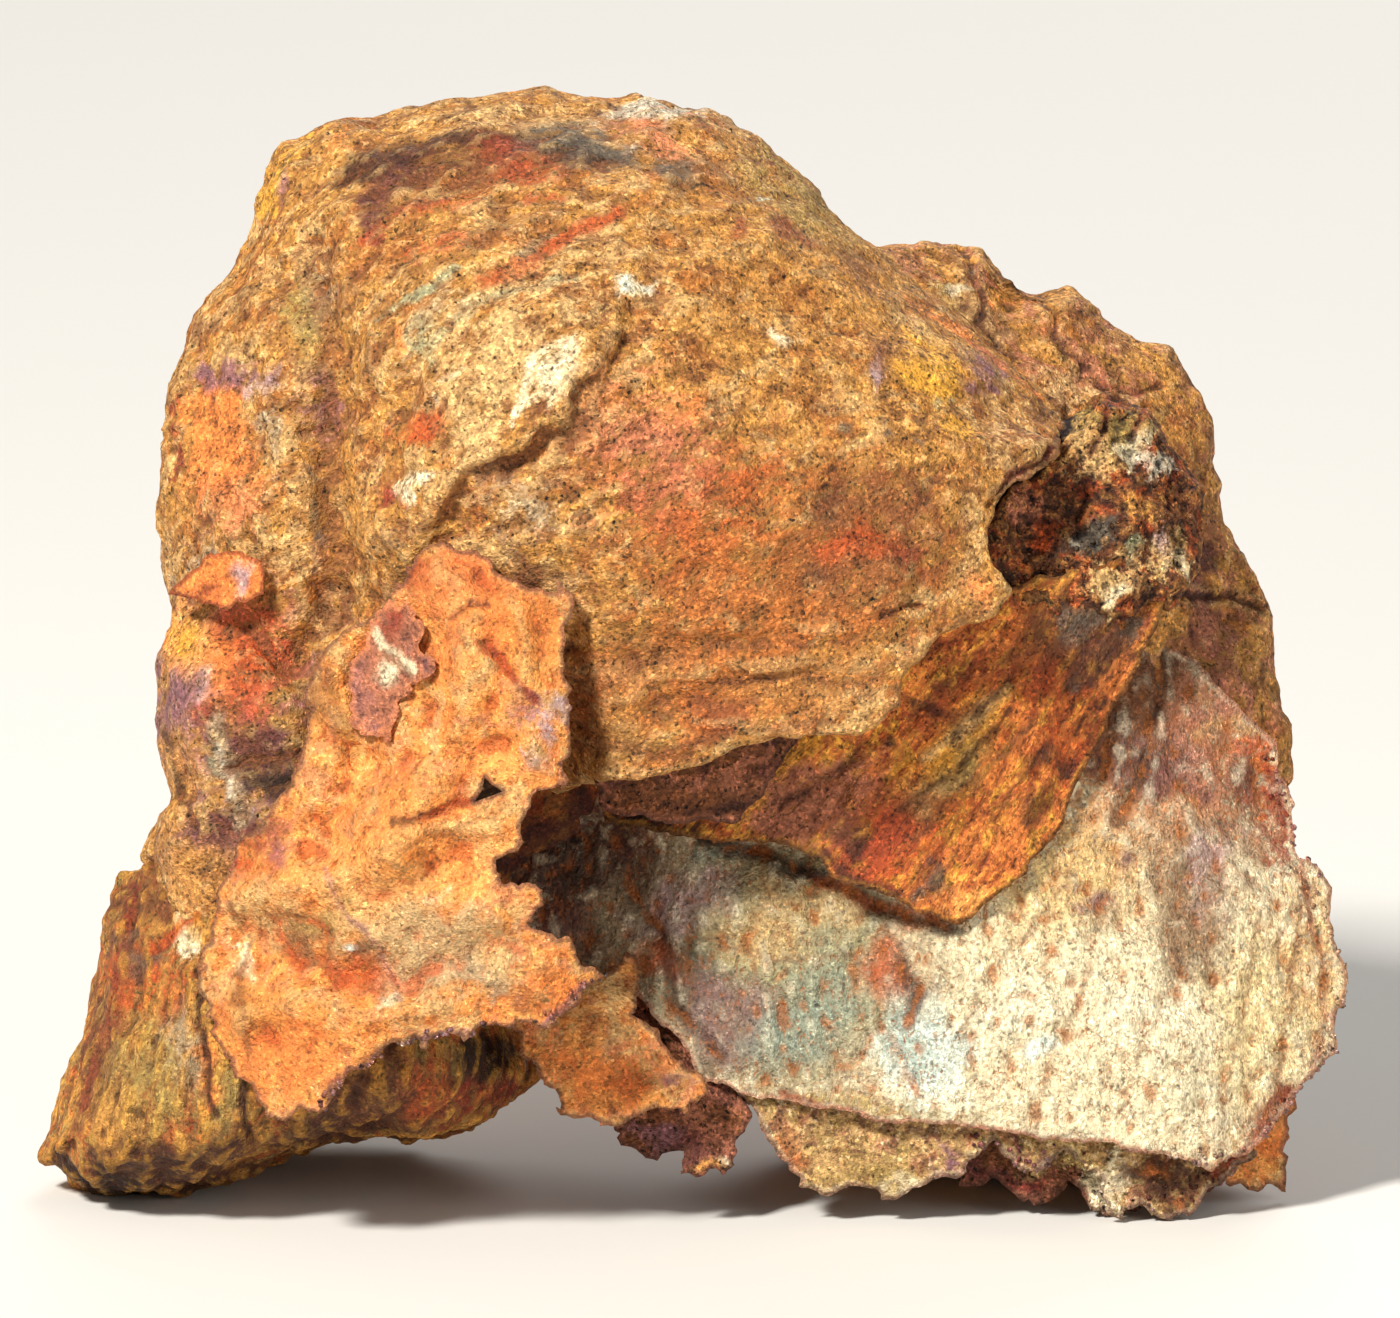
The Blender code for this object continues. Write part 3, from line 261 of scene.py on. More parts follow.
RIM_LEAF = (
    (2, 16), (6.5, 8.6), (7.2, 7.3), (8.2, 5.7), (9.8, 4.5), (11.3, 3), (13.3, 2.3), (15.5, 2.9), (17.4, 2.1),
    (19.6, 2.1), (21.2, 2.9), (22.2, 3.8), (26.1, 4.8), (27.4, 6), (28, 7.3), (29.3, 7.6), (30.6, 6.6),
    (31.6, 5.3), (33.2, 4.8), (34.5, 5.1), (36.5, 6.9), (38.4, 5), (39.7, 4), (40.4, 2), (41.2, 0.1), (42.2, 0),
    (43.6, 1.5), (45, 0.9), (46.9, 0.6), (50.1, 1.4), (51.1, 2.7), (55, 6), (50, 14), (30, 16),
)
RIM_LEVELS = ((5, 10, 2.2), (20, 6, 2.4), (30, 10, 4.2), (42, 3, 1.2), (50, 8, 0.6), (30, 15, 4.0))
BACK_RIM = (
    (24, 12), (26.4, 4.6), (27, 3.3), (29.6, 3.5), (31.9, 1.6), (34.5, 2), (36.5, 3.8), (37.8, 2.7),
    (39.5, 1.4), (41.2, 0.6), (50, 2), (57, 9), (50, 16), (34, 16),
)
BACK_RIM_LEVELS = ((28, 5, -0.8), (40, 3, -1.0), (50, 8, -3.0), (30, 12, 0.5))
CORNER_LEAF = ((50, 16), (52, 4.6), (53.4, 3.5), (58.3, 3.5), (58.4, 5.6), (59.2, 9.5), (60, 14), (58, 24))
CORNER_LEVELS = ((55, 6, -6), (58, 12, -8), (52, 14, -5))
UNDER_LIP = (
    (-11, 46), (-9.4, 40.6), (-6.3, 39.8), (-3, 39.4), (0.2, 39.7), (3.8, 39.6), (5.5, 41.5), (7.6, 44),
    (10, 48), (0, 51), (-10, 49),
)
UNDER_LIP_LEVELS = ((-9, 43, 15), (-3, 40, 14.5), (4, 40, 14), (8, 46, 15), (-5, 48, 15.5))
TONGUE = (
    (-10, 44), (-9.6, 39.6), (-3, 38.2), (-0.5, 37.7), (3.1, 37.5), (5.6, 37.7), (8.2, 37.4), (11, 36),
    (13.3, 34), (17.4, 32.4), (20.3, 31.2), (22.8, 30.1), (24.8, 29.7), (27.4, 30), (28, 31), (32.5, 34.6),
    (35.5, 38.5), (39, 46), (42, 52), (45, 58), (46.5, 63), (42, 66), (28, 62), (14, 56), (0, 52),
)
TONGUE_LEVELS = (
    (-8, 42, 6), (0, 39, 8), (10, 38, 10), (22, 32, 9.5), (30, 35, 6.5), (39, 47, 3.5), (45, 60, 4),
    (20, 50, 12.5), (10, 45, 12), (30, 48, 10), (35, 58, 8.5),
)
FRONT_LEAF = (
    (-26.4, 67), (-28.4, 64.3), (-30.4, 62.4), (-31.6, 60.8), (-33.7, 58.8), (-36.2, 57.1), (-37.7, 55.2),
    (-38.8, 52.1), (-39.1, 48.9), (-38.9, 46.4), (-39.8, 44.1), (-42, 41), (-45.2, 37), (-47.5, 33),
    (-48.6, 28), (-49.5, 24.2), (-48.9, 21.7), (-48.5, 18.5), (-46.3, 15.9), (-45, 12.7), (-43.4, 11.2),
    (-41.8, 10.4), (-38, 10.5), (-37.1, 12.1), (-36.1, 13.7), (-33.6, 15), (-32, 16.3), (-30.4, 17.5),
    (-28.1, 17.9), (-26.5, 17.5), (-25.6, 18.5), (-23.4, 17.9), (-22.1, 18.2), (-21.1, 18.5), (-20, 19.6),
    (-17.7, 20), (-15.5, 19), (-14.2, 19.8), (-12.9, 20.9), (-11.8, 22.4), (-11.2, 23), (-9.2, 24.1),
    (-10.3, 25), (-11.7, 25.3), (-12.7, 27.2), (-14.4, 28.1), (-15.3, 28), (-16.8, 29.1), (-16.2, 30),
    (-15.3, 30.9), (-15.5, 32), (-16.4, 32.8), (-17.9, 32.9), (-19.6, 33.2), (-20.7, 34.5), (-19.2, 36.3),
    (-17.8, 37.6), (-18.2, 38.8), (-17.4, 39.6), (-17.1, 41), (-16.4, 41.7), (-14.9, 42.2), (-13.6, 42.5),
    (-12.9, 44.5), (-12.7, 46.1), (-12.7, 48), (-13, 50), (-13.2, 54), (-13.2, 59.3), (-12.7, 61.6),
    (-13.8, 62.7), (-15.9, 62.4), (-17.2, 62.5), (-18.2, 63.2), (-19.5, 64.1), (-22, 65.8), (-24.7, 66.7),
)
FRONT_LEVELS = (
    (-26.5, 67, 21.6), (-30, 62, 20.8), (-12.8, 62.2, 27.2), (-13, 52, 26.8), (-13, 43.5, 25.6),
    (-20.5, 35, 24.3), (-15.5, 31, 24.6), (-9.5, 24, 20.5), (-20, 19.5, 20.8), (-27, 17.8, 20),
    (-37, 12.5, 17.2), (-42, 10.6, 14.4), (-48.5, 20, 10.2), (-48.5, 29, 10), (-45, 36, 12.2), (-39, 46, 15.4),
    (-38.5, 54, 15.2), (-27, 42, 22.6), (-26, 29, 22.8), (-24, 55, 24.2),
)
FRONT_HOLE = ((-22.2, 41.2), (-21.4, 42.4), (-21.2, 43.6), (-20.5, 42.9), (-19.4, 42.2), (-20.4, 41.8))
LOW_FLAP = (
    (-12, 26), (-9, 24.6), (-7, 26.3), (-5.9, 25.8), (-5.4, 24), (-6.4, 20.2), (-4.6, 19), (-3.1, 17.2),
    (-1.9, 15.7), (0.7, 13.5), (-0.4, 12.2), (-1.4, 10.9), (-3.6, 11.1), (-5.1, 10.7), (-7.3, 10), (-9.6, 9.6),
    (-10.8, 10), (-13.3, 10.3), (-14.4, 11.6), (-15.1, 13.1), (-16.6, 14.8), (-17.7, 16.5), (-18.5, 19),
    (-17.5, 23),
)
LOW_FLAP_LEVELS = ((-17, 17, 8), (-10, 20, 9.5), (-12, 12, 9), (-1, 13, 7.5), (-6, 24, 4.5), (-13, 25, 5))
BROWN_FLAP = (
    (-9.5, 14), (-8.6, 9.2), (-8.1, 7.6), (-6.8, 6.6), (-5.5, 6), (-1.9, 6.6), (-1.8, 4.4), (-0.3, 4.7),
    (1.2, 5.5), (2.1, 4.6), (3.1, 5.5), (4, 7.2), (4.7, 8.9), (5.1, 10.7), (4, 13), (2.9, 17), (0, 21),
    (-5, 26), (-11, 21),
)
BROWN_FLAP_LEVELS = ((-7, 8, 4.2), (2, 6, 3.4), (-2, 13, 3.2), (4, 12, 2.6), (-3, 19, 0.6), (-6, 25, -1.5))
PEEL = (
    (-30.8, 61.5), (-31.6, 59.8), (-33.1, 57.3), (-34.8, 54.2), (-34.9, 52.7), (-34.6, 50.2), (-33.3, 48.1),
    (-32.3, 47.2), (-30.2, 47), (-30, 48.9), (-29.8, 50.8), (-28.7, 51.5), (-28.1, 52.9), (-26.2, 53.6),
    (-26.8, 54.6), (-26.6, 55.4), (-27.8, 56.1), (-27.4, 58.6), (-28.9, 61),
)
PEEL_LEVELS = ((-31, 61, 21.6), (-34.5, 52, 18.6), (-30.5, 47.5, 21.6), (-26.5, 54, 24.6), (-29, 58, 23.2))
SIDE_PLATE = (
    (-53.4, 62.4), (-51.2, 64), (-49.1, 65.9), (-48.3, 66.5), (-45.8, 66.2), (-43.5, 65.5), (-43.3, 64.2),
    (-43.5, 62.1), (-44.7, 61.7), (-45.8, 61.8), (-46.6, 60.7), (-48.3, 61.1), (-50.2, 61.6), (-51.6, 62.1),
)
SIDE_PLATE_LEVELS = ((-52, 63, 4.6), (-48, 66, 8.5), (-44, 65, 10.5), (-47, 61, 9.2), (-44, 62, 11.4))
BACK_LEAVES = (  # an outline, and how far the leaf stands off the back of the mass
    (
        ((-42, 84), (-36, 93), (-25, 99), (-12, 103), (-2, 100), (6, 101), (13, 95), (21, 91), (25, 84),
         (22, 79), (25, 74), (18, 70), (14, 64), (8, 66), (3, 61), (-5, 58), (-11, 61), (-17, 57), (-25, 60),
         (-29, 66), (-36, 67), (-39, 75)),
        ((-36, 90, 3), (-10, 101, 3), (15, 93, 2), (24, 80, -1), (10, 65, -3), (-8, 60, -3.5), (-28, 63, -3),
         (-38, 75, -1)),
    ),
    (
        ((-48, 56), (-40, 62), (-28, 59), (-18, 62), (-9, 56), (-5, 49), (-8, 42), (-4, 36), (-9, 29),
         (-15, 30), (-19, 24), (-27, 27), (-33, 22), (-41, 27), (-44, 34), (-50, 38), (-48, 47)),
        ((-45, 57, 3), (-28, 60, 3), (-10, 56, 1), (-5, 38, -2.5), (-18, 26, -3), (-33, 24, -3),
         (-47, 38, -1.5)),
    ),
    (
        ((6, 60), (14, 64), (25, 67), (33, 64), (42, 66), (49, 59), (47, 52), (51, 45), (46, 38), (49, 31),
         (42, 26), (35, 29), (28, 24), (20, 28), (12, 25), (7, 32), (9, 40), (4, 48)),
        ((10, 61, 3), (25, 66, 3), (42, 64, 2), (50, 45, -2.5), (44, 28, -3), (27, 26, -3.5), (10, 28, -2.5),
         (5, 48, -1)),
    ),
    (
        ((28, 96), (36, 92), (44, 86), (50, 79), (53, 70), (48, 67), (45, 72), (39, 70), (35, 76), (29, 75),
         (24, 81), (27, 88)),
        ((32, 92, 2.5), (46, 83, 1), (50, 70, -2), (38, 72, -2.5), (26, 80, -2)),
    ),
)
LUMPS = (  # name, outline, middle, heights of its front and back, rim's depth, seed and what else differs
    ("native_copper", HEART_OUTLINE, HEART_MIDDLE, HEART_LEVELS, HEART_BACK, -16, 10,
     {"sharp": 2.6, "rough": 1.6}),
    ("dome", DOME_OUTLINE, DOME_MIDDLE, DOME_LEVELS, DOME_BACK, -6, 13, {"lip": DOME_LIP}),
    ("flank", FLANK_OUTLINE, FLANK_MIDDLE, FLANK_LEVELS, FLANK_BACK, -14, 16, {}),
    ("block", BLOCK_OUTLINE, BLOCK_MIDDLE, BLOCK_LEVELS, BLOCK_BACK, -11, 19, {"sharp": 5.0, "rough": 0.7}),
    ("heel", HEEL_OUTLINE, HEEL_MIDDLE, HEEL_FRONT, HEEL_BACK, -24, 36, {}),
    ("cheek", CHEEK_OUTLINE, CHEEK_MIDDLE, CHEEK_LEVELS, CHEEK_BACK, -6, 31, {"sharp": 6.0, "rough": 0.8}),
    ("knot", KNOT_OUTLINE, KNOT_MIDDLE, KNOT_LEVELS, KNOT_BACK, 1, 34, {"sharp": 5.0, "rough": 1.4}),
)
BROAD_LUMPS = LUMPS[:4]  # what the back of the mass is made of
VALLEY = ((-38, 94), (-36.5, 84), (-36, 74), (-35, 64), (-37, 56))
SHELF = ((-8.3, 87.5), (-9.7, 83.5), (-12.5, 81.5), (-13, 78.5), (-18, 75.5), (-23, 74), (-25.5, 69))
TOP_TROUGH = ((-38, 104), (-30, 105), (-20, 103.5), (-14, 100))
BROW = ((6, 98), (14, 92), (21, 87), (29, 83))
WRINKLES = (((-9, 54), (-1, 56.5), (7, 57)), ((-4, 51), (3, 52.5), (10, 53)))
SHELF_STEP = (2.4, 9)  # height, and how far it fades
VALLEY_CUT, TROUGH_CUT, BROW_CUT = (4, 2.5), (3, 1.6), (3, -1.6)  # half width and depth of each
WRINKLE_CUT, WALL_CUT, BEND_CUT = (1.6, 0.9), (1.8, 1.1), (2.6, -0.9)

# Stains: tone, middle (u, v), half sizes, turn in degrees and strength.
# Marks: tone, path, half width and strength.

DOME_STAINS = (
    ("earth", 8, 63, 17, 13, 10, 0.6), ("ochre", 10, 92, 16, 12, -30, 0.5), ("sand", -18, 90, 12, 8, 30, 0.45),
    ("rust", -2, 72, 9, 7, 0, 0.35), ("sand", -14, 111, 14, 2.2, 6, 0.5),
    ("umber", -25, 105.8, 10, 1.6, 8, 0.55), ("plum", -30, 103, 4, 3, 50, 0.5),
    ("brown", -20, 103.6, 8, 1.8, 6, 0.5), ("rust", -17.6, 104.6, 3, 1.8, 0, 0.5),
    ("yellow", -43.9, 101.8, 2.4, 6.5, -20, 0.75), ("orange", -37.4, 108.7, 1.6, 0.9, 0, 0.5),
    ("violet", -41, 102.9, 0.7, 1.3, 0, 0.8), ("umber", -33.2, 105.2, 4.2, 2.2, 25, 0.85),
    ("plum", -31.9, 99.4, 2.2, 1.9, 60, 0.8), ("umber", -27, 107, 5, 1.3, 8, 0.7),
    ("brick", -19.2, 106.2, 3, 1.9, 0, 0.6), ("brown", -25.5, 102.6, 6, 2, 20, 0.45),
    ("slate", -12, 107.4, 5.2, 2.3, -4, 0.85), ("umber", -11, 105.6, 4.4, 1.3, -6, 0.6),
    ("slate", -3.6, 103.9, 3.4, 2.3, -20, 0.6), ("silver", -5, 110.6, 3.6, 1.9, -8, 0.85),
    ("salmon", -3.2, 107.3, 3.6, 1.3, -12, 0.7), ("brown", 2.2, 104.4, 3.5, 2.2, -25, 0.5),
    # The cream and ice spots at (-6.1, 91.6), (-5.9, 91.7), (8.4, 87.4), (7.1, 101.5) and (3.1, 109.5) are
    # painted glints.
    ("brown", -33.4, 93.1, 2, 2, 0, 0.6), ("cream", -6.1, 91.6, 1.5, 1, -10, 1),
    ("ice", -5.9, 91.7, 0.9, 0.6, 0, 1), ("cream", 8.4, 87.4, 0.8, 1, 20, 0.9),
    ("ice", 7.1, 101.5, 0.9, 0.3, -10, 0.9), ("cream", 3.1, 109.5, 0.6, 0.5, 0, 0.8),
    ("black", 0.5, 102.3, 1.3, 0.3, 4, 1), ("orange", -47.6, 76.6, 3.2, 6.4, 4, 0.9),
    ("salmon", -46.8, 70.4, 3.2, 3.2, 0, 0.5), ("violet", -47.4, 84.4, 4.4, 1.5, 0, 0.75),
    ("lilac", -43.6, 83.4, 1.8, 1.2, 40, 0.6), ("grey", -42.6, 78.8, 1.1, 4.4, 0, 0.65),
    ("brick", -51.7, 79.7, 0.7, 1.4, 0, 1), ("brick", -52.5, 75.9, 0.6, 1.5, 0, 1),
    ("brown", -50.3, 69.6, 0.9, 0.8, 0, 0.9), ("violet", -38.1, 80, 2.9, 3.6, 10, 0.55),
    ("olive", -38.7, 88.6, 2.9, 4.4, 10, 0.7), ("grey", -36.9, 91.5, 1.8, 3, 10, 0.4),
    ("ochre", -34.7, 71, 2.8, 5.2, 10, 0.6), ("brown", -36, 64, 2.2, 4, 10, 0.5),
    ("rust", -28.3, 78.6, 3.2, 2.3, 30, 0.75), ("brick", -30.3, 70.4, 1.7, 1.6, 40, 0.85),
    ("rust", -27.4, 96.5, 3.5, 1.6, 30, 0.5), ("sand", -21.2, 79.8, 3.6, 7, -18, 0.8),
    ("cream", -27.9, 71.7, 0.8, 1.5, -10, 0.95), ("cream", -26, 81, 0.5, 0.7, 0, 0.9),
    ("cream", -23.6, 84.2, 0.7, 0.4, 0, 0.7), ("orange", -30.1, 86.2, 0.8, 2.3, 10, 0.6),
    ("verdigris", -27, 86.4, 1.7, 2.4, 20, 0.5), ("grey", -24.2, 90.4, 3.2, 1.5, 35, 0.5),
    ("cream", -14.2, 83.8, 1.6, 3, -40, 0.6), ("olive", -12, 81.6, 2.2, 3.6, -40, 0.5),
    ("salmon", -7, 80.4, 6.2, 4.4, 10, 0.5), ("rose", -4.4, 74.6, 5.2, 5, 0, 0.45),
    # The brown at (-19.6, 73) and (-12, 78.6) is painted shadow in the trough below the shelf's ledge.
    ("orange", -1.4, 80.6, 2.6, 1.6, 0, 0.5), ("brown", -19.6, 73, 3.6, 1.5, 38, 0.8),
    ("brown", -12, 78.6, 1.1, 3.4, -30, 0.7), ("grey", -17, 69.6, 3.8, 4.2, 0, 0.5),
    ("brown", -17.5, 60.5, 3, 5.5, 0, 0.7), ("olive", 10.6, 102, 5.6, 4.6, -35, 0.6),
    ("brown", 14.6, 95.6, 3, 1.6, -40, 0.5), ("brick", 9.3, 98, 1.9, 1.2, -10, 0.75),
    ("brick", 3.6, 99.2, 0.8, 0.8, 0, 0.6), ("plum", 18.2, 85.4, 2.2, 2.2, -30, 0.7),
    ("brick", 19.6, 83, 0.8, 1.8, 20, 0.75), ("lilac", 17, 83.6, 0.7, 1.4, 0, 0.7),
    ("yellow", 22.6, 84, 3.8, 3.2, -30, 0.85), ("yellow", 26.1, 78.9, 1.5, 1.2, 0, 0.8),
    ("violet", 29.5, 84.8, 2.8, 2.6, -40, 0.6), ("sand", 21.6, 88.8, 3.4, 1.2, -35, 0.6),
    ("verdigris", 24.4, 80.8, 0.8, 0.7, 0, 0.6), ("slate", 14.5, 79.3, 0.9, 0.8, 0, 0.7),
    ("slate", 22.2, 77.2, 0.9, 0.8, 0, 0.7), ("slate", 18.6, 77.2, 0.8, 0.7, 0, 0.7),
    ("brown", 16.7, 67.6, 6.4, 6.6, 20, 0.65), ("rust", 15.4, 67, 3, 1.7, 10, 0.85),
    ("brick", 19.4, 65.2, 2.2, 1.3, -20, 0.65), ("umber", 11.8, 70.2, 2.4, 1.6, 40, 0.5),
    ("black", 11.6, 73.1, 0.7, 0.6, 0, 0.9), ("umber", 12.4, 62.6, 1.6, 1.1, 20, 0.6),
    ("umber", 20.8, 71.2, 1.2, 1, 0, 0.5), ("sand", 27, 65, 1.9, 4.6, 0, 0.7),
    ("orange", 28.4, 62.4, 1.6, 2, 0, 0.6), ("rose", 31.8, 73.4, 2.2, 1.9, 30, 0.7),
    ("sand", 29.8, 78.2, 1.8, 2.2, 0, 0.5), ("brick", 2.2, 49.6, 2.5, 2.2, 20, 0.8),
    ("plum", 2.6, 49.2, 1.4, 1.3, 0, 0.6), ("olive", -8.4, 47.4, 3.6, 2.6, 0, 0.6),
    ("olive", 10, 53, 6, 2.6, 10, 0.4), ("sand", -6.6, 53.6, 5, 1.8, 10, 0.4),
    # The brown at (-11, 51) is painted shadow cast by the front leaf's right edge on the dome.
    ("brown", -11, 51, 2.2, 4.4, 0, 0.55), ("earth", 0, 52, 16, 7, 8, 0.5),
    ("umber", -30.6, 64.2, 1.8, 3.6, 20, 0.4),
)
# KNOT_GAP runs where the dome's right edge meets the knot; the black marks along it are painted shade in that
# gap.
KNOT_GAP = ((36.9, 81.7), (36.5, 79.3), (34.9, 76.8), (34.1, 75.2), (30.8, 73.6), (29.2, 70.7))
DOME_MARKS = (
    ("rust", ((-17, 96), (-12, 98), (-8, 99.5)), 0.8, 0.85),
    ("rust", ((-21.4, 92.7), (-17, 94.6), (-13.4, 97.1)), 0.8, 0.8),
    ("verdigris", ((-31.6, 89), (-28, 91.5), (-24.3, 94.2)), 0.5, 0.8),
    ("verdigris", ((-17.7, 95.3), (-14.8, 97.8)), 0.5, 0.7),
    ("verdigris", ((-30, 84), (-25, 88), (-19, 91.6), (-12, 93)), 0.4, 0.5),
    ("rust", ((-34, 97), (-29, 100), (-22, 101.5), (-14, 101)), 0.6, 0.5),
    ("brown", ((-33, 88), (-28, 94), (-20, 98.4), (-10, 102)), 0.5, 0.5),
    ("slate", ((-38.8, 76.4), (-38.3, 72), (-37.7, 67.7)), 0.6, 0.7),
    # Painted shadow: the brown line along the shelf's ledge.
    ("brown", ((-8.3, 87), (-9.7, 83), (-12.5, 80.8), (-13, 77.8), (-18, 74.8), (-23, 73.2), (-25.5, 68.4)),
     0.5, 0.5),
    # Painted shade: the brown line down the valley beside the left wall.
    ("brown", ((-37.5, 92), (-36.8, 84), (-36.4, 76), (-36.4, 68)), 0.9, 0.5),
    ("cream", ((-16.6, 84.6), (-17.6, 81), (-18.8, 78)), 0.35, 0.8),
    # Painted shade in the gap between the dome and the knot.
    ("black", KNOT_GAP, 0.45, 0.95),
    ("brick", ((37.4, 82.4), (37, 79.3), (35.4, 76.4), (34.4, 74.6), (31, 72.8)), 0.9, 0.5),
    # Painted shade: the brown and umber lines in the wrinkles low on the dome.
    ("brown", ((-9.2, 53.2), (-4.8, 54.5), (0.4, 55.7), (6, 56.4)), 0.25, 0.6),
    ("umber", ((-3.3, 52.8), (2.3, 52.8), (8, 53.6)), 0.2, 0.5),
    ("brown", ((-12, 47), (-4, 46.2), (4, 47.6), (12, 49.6)), 0.5, 0.6),
    ("umber", ((17.9, 59.7), (20.2, 60.3), (21.8, 61)), 0.3, 0.9),
    ("orange", ((21, 92), (25.4, 89.4), (30, 85.6), (33.6, 82)), 0.5, 0.5),
)
WALL_STAINS = (
    ("violet", -46, 46, 12, 16, 0, 0.35), ("grey", -51, 65.5, 2, 2.5, 0, 0.8),
    ("glow", -51, 57.2, 3, 3, 0, 0.95), ("yellow", -51.4, 58, 1.6, 1.2, 20, 0.8),
    ("rust", -44.6, 56, 3.8, 5.6, 10, 0.9), ("orange", -47.6, 55, 1.4, 2.8, 0, 0.7),
    ("lilac", -49, 53.6, 1.2, 1, 0, 0.7), ("violet", -51.8, 51.6, 2.6, 3.2, 0, 0.9),
    ("brick", -47.6, 50.4, 1.6, 1.8, 0, 0.8), ("plum", -43.9, 47.9, 4.4, 2.6, 10, 0.8),
    # The black at (-21.4, 42.4) is painted shade seen through the hole in the front leaf.
    ("black", -42.2, 44.8, 3, 1.4, 12, 0.95), ("black", -21.4, 42.4, 3, 2, 0, 0.95),
    ("rust", -38.4, 44.2, 1.4, 2.4, 0, 0.9), ("ochre", -52.2, 43.6, 2.1, 5.4, 0, 0.85),
    ("plum", -45.7, 38.3, 4, 2.4, 0, 0.85), ("umber", -41.6, 36.6, 1.4, 1.2, 0, 0.9),
    ("verdigris", -47.4, 46.4, 0.8, 1.6, 0, 0.5), ("ochre", -50, 34, 4, 3, 0, 0.7),
)
WALL_MARKS = (
    ("grey", ((-48, 50), (-47.2, 45), (-45.8, 39.8)), 0.8, 0.8),
    ("silver", ((-47.8, 47), (-46.8, 42)), 0.3, 0.7), ("umber", ((-53.4, 49), (-52, 44), (-50, 39)), 0.4, 0.85),
    ("black", ((-47, 44.6), (-43, 45.6), (-39.6, 46.8)), 0.4, 0.9),
)
FLANK_STAINS = (
    # The brown and umber at (33, 66) and (31, 64) are painted shade in the recess behind the knot.
    ("brown", 33, 66, 6, 8, 0, 0.95), ("umber", 31, 64, 4, 5, 0, 0.6), ("plum", 54, 60, 5, 7, 0, 0.6),
    ("brown", 53, 72, 4, 6, 0, 0.6), ("olive", 21.8, 93.8, 5.6, 3.8, -35, 0.75),
    ("sand", 27, 90.6, 6, 3.6, -35, 0.5), ("silver", 24.6, 94.6, 2.4, 1.2, -30, 0.6),
    ("brown", 30.6, 91.6, 3.6, 4.2, 0, 0.6), ("umber", 28.8, 88.4, 1.6, 2.4, 30, 0.5),
    ("orange", 33, 92, 1.4, 2.4, 0, 0.5), ("rose", 38.6, 88.2, 4.4, 4.4, 0, 0.65),
    ("sand", 36.4, 85.4, 2.8, 2.6, 0, 0.6), ("rust", 46.8, 83, 3.8, 5.6, 25, 0.6),
    ("plum", 50, 81.4, 2.2, 4.6, 20, 0.55), ("brown", 50.8, 74.6, 2.6, 4.6, 0, 0.65),
    ("olive", 44.6, 79.8, 2.2, 3.6, 0, 0.6), ("ochre", 47.6, 76.6, 1.6, 3.4, 0, 0.6),
    ("plum", 51.4, 66.4, 2.6, 3.4, 0, 0.9), ("umber", 53.6, 66.8, 1.2, 2.4, 0, 0.7),
    ("rose", 52.6, 60, 3, 3, 0, 0.5), ("rose", 55.4, 49.8, 3, 5, 0, 0.5),
    ("violet", 49.6, 50.6, 3.4, 3, 20, 0.6), ("rust", 57.2, 43, 2.6, 3.6, 0, 0.85),
    # The umber at (46, 52.4) is painted shade in the valley beside the tongue's right edge.
    ("brick", 57.2, 40.4, 1.6, 3.4, 0, 0.6), ("umber", 46, 52.4, 2.4, 6.4, -8, 0.85),
    # The black at (30, 40) is painted shade where the flank lies behind the tongue and the right leaf.
    ("black", 30, 40, 12, 10, 0, 0.5),
)
FLANK_MARKS = (
    ("umber", ((26.6, 98.4), (28.4, 94), (28, 89.6), (31.2, 86.2)), 0.4, 0.7),
    ("umber", ((34.6, 93.6), (36, 88.6), (39, 85.4)), 0.4, 0.6),
    # Painted shade: the black line below the knot.
    ("black", ((44.3, 63.3), (49.8, 62.7), (54, 62.3), (57.4, 61.4)), 0.35, 0.95),
    ("umber", ((54.4, 46.4), (57.2, 44.6), (59.7, 44)), 0.35, 0.9),
    ("brick", ((40.4, 84), (43.6, 82.6), (46.8, 84.2)), 0.4, 0.6),
    ("rust", ((48, 88), (50.4, 82), (52.4, 76), (54.4, 68)), 0.7, 0.6),
)
KNOT_STAINS = (
    ("olive", 41.4, 79, 3.2, 3.4, 0, 0.9), ("sand", 39.2, 76.4, 1.8, 3, 20, 0.8),
    ("cream", 43, 76.4, 1.2, 2.6, -10, 0.7), ("silver", 44.8, 74.6, 1.5, 1.3, 0, 0.9),
    ("ochre", 34, 77, 2.4, 2.2, 0, 0.6), ("rose", 32, 72.4, 2.2, 2.2, 0, 0.7),
    ("slate", 38.5, 68.2, 3.4, 2, 10, 0.9), ("silver", 37.6, 68.4, 0.8, 0.5, 0, 0.7),
    ("sand", 40.8, 63.4, 2.6, 1.7, 10, 0.95), ("cream", 41.4, 62.8, 1.4, 0.8, 20, 0.8),
    ("verdigris", 42.6, 66, 1, 0.8, 0, 0.7), ("sand", 46.6, 65.2, 2.3, 2, 30, 0.9),
    ("cream", 47.4, 64.4, 1, 1, 0, 0.6), ("lilac", 45.9, 67, 1.2, 1.6, 0, 0.75),
    ("ochre", 44.2, 70.6, 1.4, 2, 0, 0.7), ("brown", 48.4, 70, 1.6, 3, 0, 0.7),
    ("rust", 33.4, 68.6, 1.6, 1.8, 0, 0.6), ("orange", 36.6, 63.4, 1.4, 1, 0, 0.6),
    ("rust", 35, 60.4, 2.4, 1.4, 10, 0.6),
)
KNOT_MARKS = (
    ("brick", ((40.6, 83.3), (40.2, 79), (38.6, 76.4)), 0.4, 0.7),
    ("brick", ((44.2, 81), (43.2, 77.6)), 0.35, 0.7),
    # Painted shade in the gap between the dome and the knot.
    ("black", KNOT_GAP, 0.5, 0.9),
)
